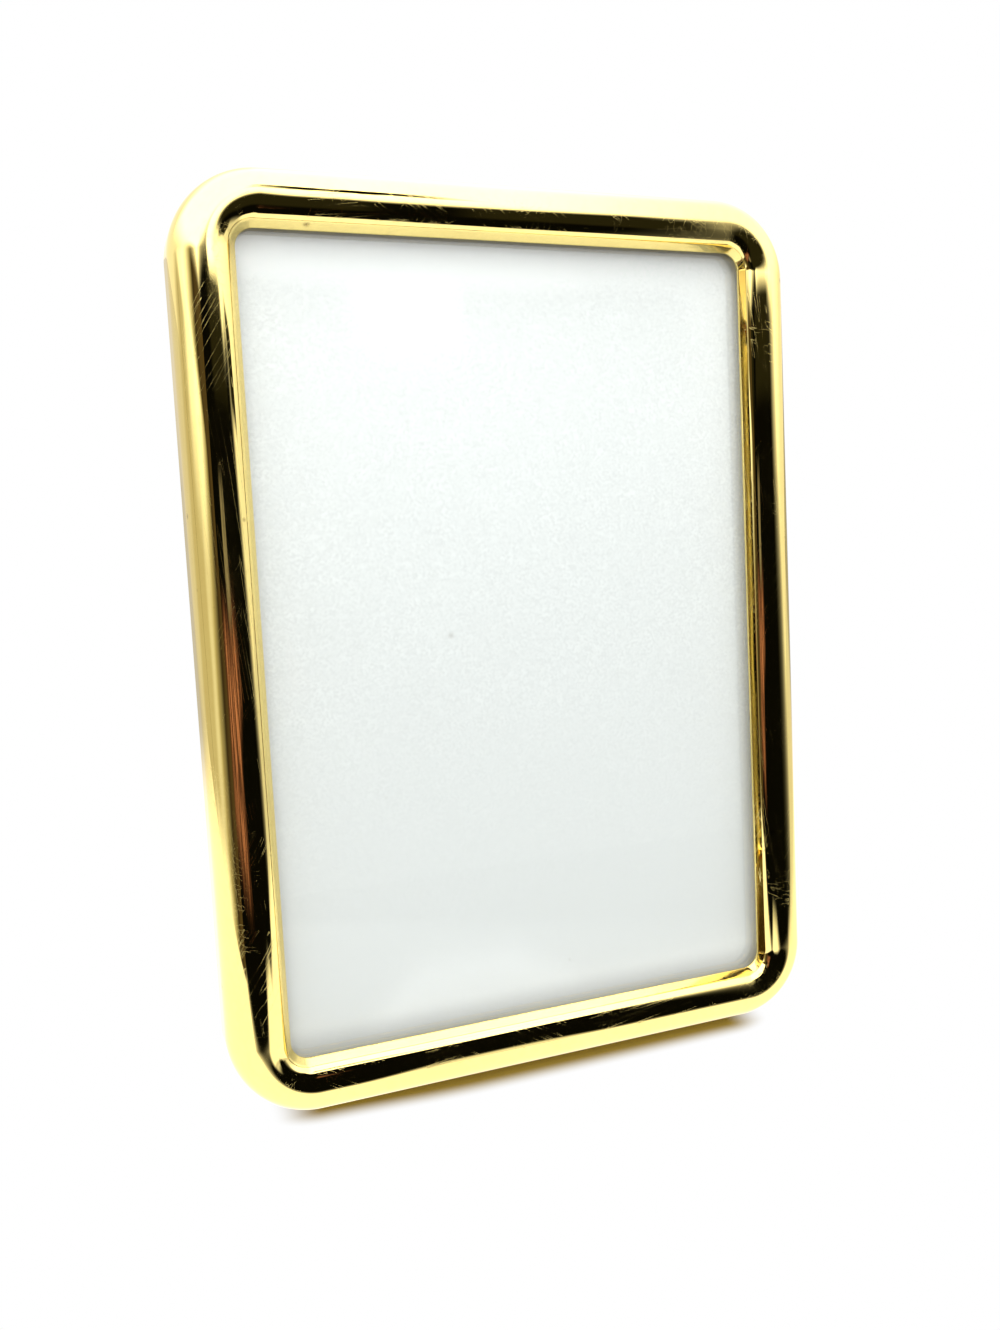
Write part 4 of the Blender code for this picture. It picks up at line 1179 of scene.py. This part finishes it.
def side_tone(spot, on_card):
    """A painted reflection for the side card, a glow that is no lamp: dark in front, bright beside the
    frame, tan behind it and at the middle height, with a dark line.
    """
    y, z = spot["Y"], spot["Z"]
    sway = times(minus(noise(on_card, 22.0), 0.5), 0.02)
    depth = minus(plus(y, sway), remap(z, 0.124, 0.140, 0.0, 0.035))
    # Painted reflection: the card glows above white beside the frame, for the brass to reflect
    bright = plus(remap(z, 0.072, 0.125, 0.68, 1.7), remap(z, -0.002, 0.02, 0.7, 0.0),
                  times(band(depth, -0.020, 0.014, 0.010), 0.25))
    line = band(minus(plus(y, times(sway, 0.4)), times(z, 0.35)), 0.0435, 0.0460, 0.0016)
    level = times(mix(remap(depth, 0.030, 0.070), bright, 0.66), minus(1.0, times(line, 0.5)),
                  remap(depth, -0.062, -0.003, kind="LINEAR"))
    grey = add("CombineColor", {0: level, 1: level, 2: level}).outputs[0]
    lit = scaled(blend_colours(fall(level, 0.45, 1.0), (1.0, 1.0, 1.0), (1.0, 0.92, 0.66)), grey)
    return blend_colours(fall(depth, -0.09, -0.035), lit, (0.09, 0.065, 0.035))


def side_cover(spot):
    """There from the front card back past the frame, thinning out above it and behind it."""
    top = plus(spot["Z"], times(spot["Y"], 0.3))
    return times(fall(top, 0.152, 0.172), fall(spot["Y"], 0.09, 0.14))


def make_cards():
    """Dark cards before the frame and on its left, which shape the reflections in the brass."""
    facing = Matrix.Rotation(QUARTER, 3, "X")
    aside = Matrix.Rotation(QUARTER, 3, "Z") @ facing
    make_card("front_card", (0.06, -0.10, 0.155), (0.42, 0.31), facing, front_tone, front_cover)
    make_card("upper_card", (0.005, -0.035, 0.132), (0.13, 0.034), facing, upper_tone, upper_cover)
    make_card("side_card", (-0.15, 0.02, 0.11), (0.24, 0.22), aside, side_tone, side_cover)


def make_world(stage):
    """Even light from all round, white to the camera, with a bright ceiling in reflections."""
    world = bpy.data.worlds.new("studio")
    bpy.context.scene.world = world
    tree = empty_tree(world)
    rays = add("LightPath", tree=tree).outputs
    way = parts_of(add("TexCoord", tree=tree).outputs["Generated"])
    aside, up = way["X"], way["Z"]
    walls = 1.15
    shift = times(remap(aside, 0.10, 0.24, 0.18, 0.0), remap(aside, -0.6, -0.3))
    glow = remap(minus(up, shift), 0.12, 0.50, 0.0, stage.sky_glow - walls)
    reflected = plus(times(glow, remap(aside, 0.33, 0.55, 1.0, 0.5)), walls)
    seen = calc("ADD", rays["Is Camera Ray"], rays["Is Transmission Ray"], clamp=True)
    even = remap(up, -0.2, 0.9, stage.world * 0.7, stage.world * 1.6, kind="LINEAR")
    level = mix(rays["Is Glossy Ray"], mix(seen, even, 1.0), reflected)
    put_out(add("Background", {0: WHITE, 1: level}).outputs[0], "World")


def stand_in_scene(name, data, spot, turn):
    """A lamp's or camera's object, at its spot and turned."""
    holder = bpy.data.objects.new(name, data)
    bpy.context.scene.collection.objects.link(holder)
    holder.location, holder.rotation_euler = spot, turn
    return holder


def make_lamp(name, spot, size, power):
    """A soft lamp aimed at the frame."""
    lamp = bpy.data.lights.new(name, "AREA")
    lamp.shape = "RECTANGLE"
    lamp.size, lamp.size_y = size
    lamp.energy = power
    target = Vector((0, 0, 0.06))
    holder = stand_in_scene(name, lamp, spot, (target - Vector(spot)).to_track_quat("-Z", "Y").to_euler())
    holder.visible_camera = holder.visible_glossy = False


def make_camera():
    """The photograph's view: close in front, a little above and to the left."""
    camera = bpy.data.cameras.new("camera")
    camera.lens, camera.sensor_width = CAMERA_LENS, CAMERA_FILM
    camera.clip_start, camera.clip_end = 1 * MM, 50.0
    turn = [math.radians(angle) for angle in CAMERA_TURN]
    bpy.context.scene.camera = stand_in_scene("camera", camera, CAMERA_SPOT, turn)


# Operators

class FRAME_OT_moulding(bpy.types.Operator):
    """Make the domed brass moulding"""
    bl_idname = "easel_frame.moulding"
    bl_label = "Moulding"

    def execute(self, context):
        scene = context.scene
        make_moulding(scene.frame_sizes, polished_brass(scene.frame_colours))
        return {"FINISHED"}


class FRAME_OT_glazing(bpy.types.Operator):
    """Make the glass, and finish the insert card behind it"""
    bl_idname = "easel_frame.glazing"
    bl_label = "Glass and Card"

    def execute(self, context):
        scene = context.scene
        make_pane(scene.frame_sizes, clear_glass(scene.frame_colours))
        dress_node("insert_card", white_paper(scene.frame_colours))
        return {"FINISHED"}


class FRAME_OT_back(bpy.types.Operator):
    """Finish the wooden strips and the back board, and cover the board with velvet"""
    bl_idname = "easel_frame.back"
    bl_label = "Back"

    def execute(self, context):
        scene = context.scene
        colours = scene.frame_colours
        upright = softwood("softwood_upright", colours, (0, 0, 0), (1.0, 1.0, 0.06))
        across = softwood("softwood_across", colours, (0, QUARTER, 0), (0.06, 1.0, 1.0))
        for side, material in (("left", upright), ("right", upright), ("top", across), ("bottom", across)):
            dress_node(f"filler_strip_{side}", material)
        dress_node("back_board", board("pressed_board", colours.hardboard, 0.6, 900.0, 0.6))
        make_back_cloth(scene.frame_sizes, scene.back_sizes, velvet(colours))
        return {"FINISHED"}


class FRAME_OT_turn_buttons(bpy.types.Operator):
    """Make the four turn-buttons and their screws"""
    bl_idname = "easel_frame.turn_buttons"
    bl_label = "Turn-Buttons"

    def execute(self, context):
        scene = context.scene
        colours = scene.frame_colours
        tumbled = plain_metal("tumbled_brass", colours.button, 0.8, 0.24, 900.0)
        steel = plain_metal("plain_steel", colours.steel, 0.75, 0.26, 1200.0)
        make_turn_buttons(scene.frame_sizes, scene.back_sizes, tumbled)
        make_screws(scene.frame_sizes, scene.back_sizes, steel)
        return {"FINISHED"}


class FRAME_OT_hinge(bpy.types.Operator):
    """Make the hinge: two leaves, its pin and four rivets"""
    bl_idname = "easel_frame.hinge"
    bl_label = "Hinge"

    def execute(self, context):
        colours = context.scene.frame_colours
        plated = plain_metal("plated_steel", colours.plate, 0.78, 0.3, 1000.0)
        back = context.scene.back_sizes
        make_back_leaf(back, plated)
        make_strut_leaf(back, plated)
        make_pin(back, bpy.data.materials["plain_steel"])
        back_seat = (BACK_RIVET_X, SEAT_Y, back.hinge_height + RIVET_UP)
        make_rivets("back", "frame", back, back_seat, 3.55 * MM, lean, plated)
        strut_seat = (STRUT_RIVET_X, back.knuckle, -RIVET_UP)
        make_rivets("strut", "strut", back, strut_seat, 2.75 * MM, tilt, plated)
        return {"FINISHED"}


class FRAME_OT_strut(bpy.types.Operator):
    """Finish the strut's board and cover it with velvet"""
    bl_idname = "easel_frame.strut"
    bl_label = "Strut"

    def execute(self, context):
        scene = context.scene
        dress_node("strut_board", board("lined_card", scene.frame_colours.lining, 0.7, 1300.0, 0.55))
        make_strut_cloth(scene.back_sizes, bpy.data.materials["velvet_pile"])
        return {"FINISHED"}


class FRAME_OT_stage(bpy.types.Operator):
    """Set up the floor, the light and the camera"""
    bl_idname = "easel_frame.stage"
    bl_label = "Studio"

    def execute(self, context):
        stage = context.scene.stage_settings
        make_floor()
        make_cards()
        make_world(stage)
        make_lamp("overhead_lamp", (0.0, -0.14, 0.42), (0.5, 0.4), stage.overhead)
        make_camera()
        context.scene.view_settings.view_transform = "Standard"
        return {"FINISHED"}


OPERATORS = (FRAME_OT_moulding, FRAME_OT_glazing, FRAME_OT_back, FRAME_OT_turn_buttons, FRAME_OT_hinge,
             FRAME_OT_strut, FRAME_OT_stage)


class FRAME_PT_panel(bpy.types.Panel):
    """The frame's pieces, sizes and colours"""
    bl_idname = "FRAME_PT_panel"
    bl_label = "Easel Frame"
    bl_space_type = "VIEW_3D"
    bl_region_type = "UI"
    bl_category = "Easel Frame"

    def draw(self, context):
        """List the operators, and the settings under them."""
        column = self.layout.column()
        for operator in OPERATORS:
            column.operator(operator.bl_idname)
        for name, group in SETTINGS.items():
            box = self.layout.box()
            for label in group.__annotations__:
                box.prop(getattr(context.scene, name), label)


CLASSES = (*SETTINGS.values(), *OPERATORS, FRAME_PT_panel)


def register():
    """Make the classes known to Blender, and give the scene its settings."""
    for cls in CLASSES:
        bpy.utils.register_class(cls)
    for name, group in SETTINGS.items():
        setattr(bpy.types.Scene, name, bpy.props.PointerProperty(type=group))


def unregister():
    """Take away what register gave."""
    for name in SETTINGS:
        delattr(bpy.types.Scene, name)
    for cls in reversed(CLASSES):
        bpy.utils.unregister_class(cls)


def main():
    """Make every piece and the stage."""
    register()
    for operator in OPERATORS:
        name = operator.bl_idname.split(".")[1]
        getattr(bpy.ops.easel_frame, name)()


if __name__ == "__main__":
    main()
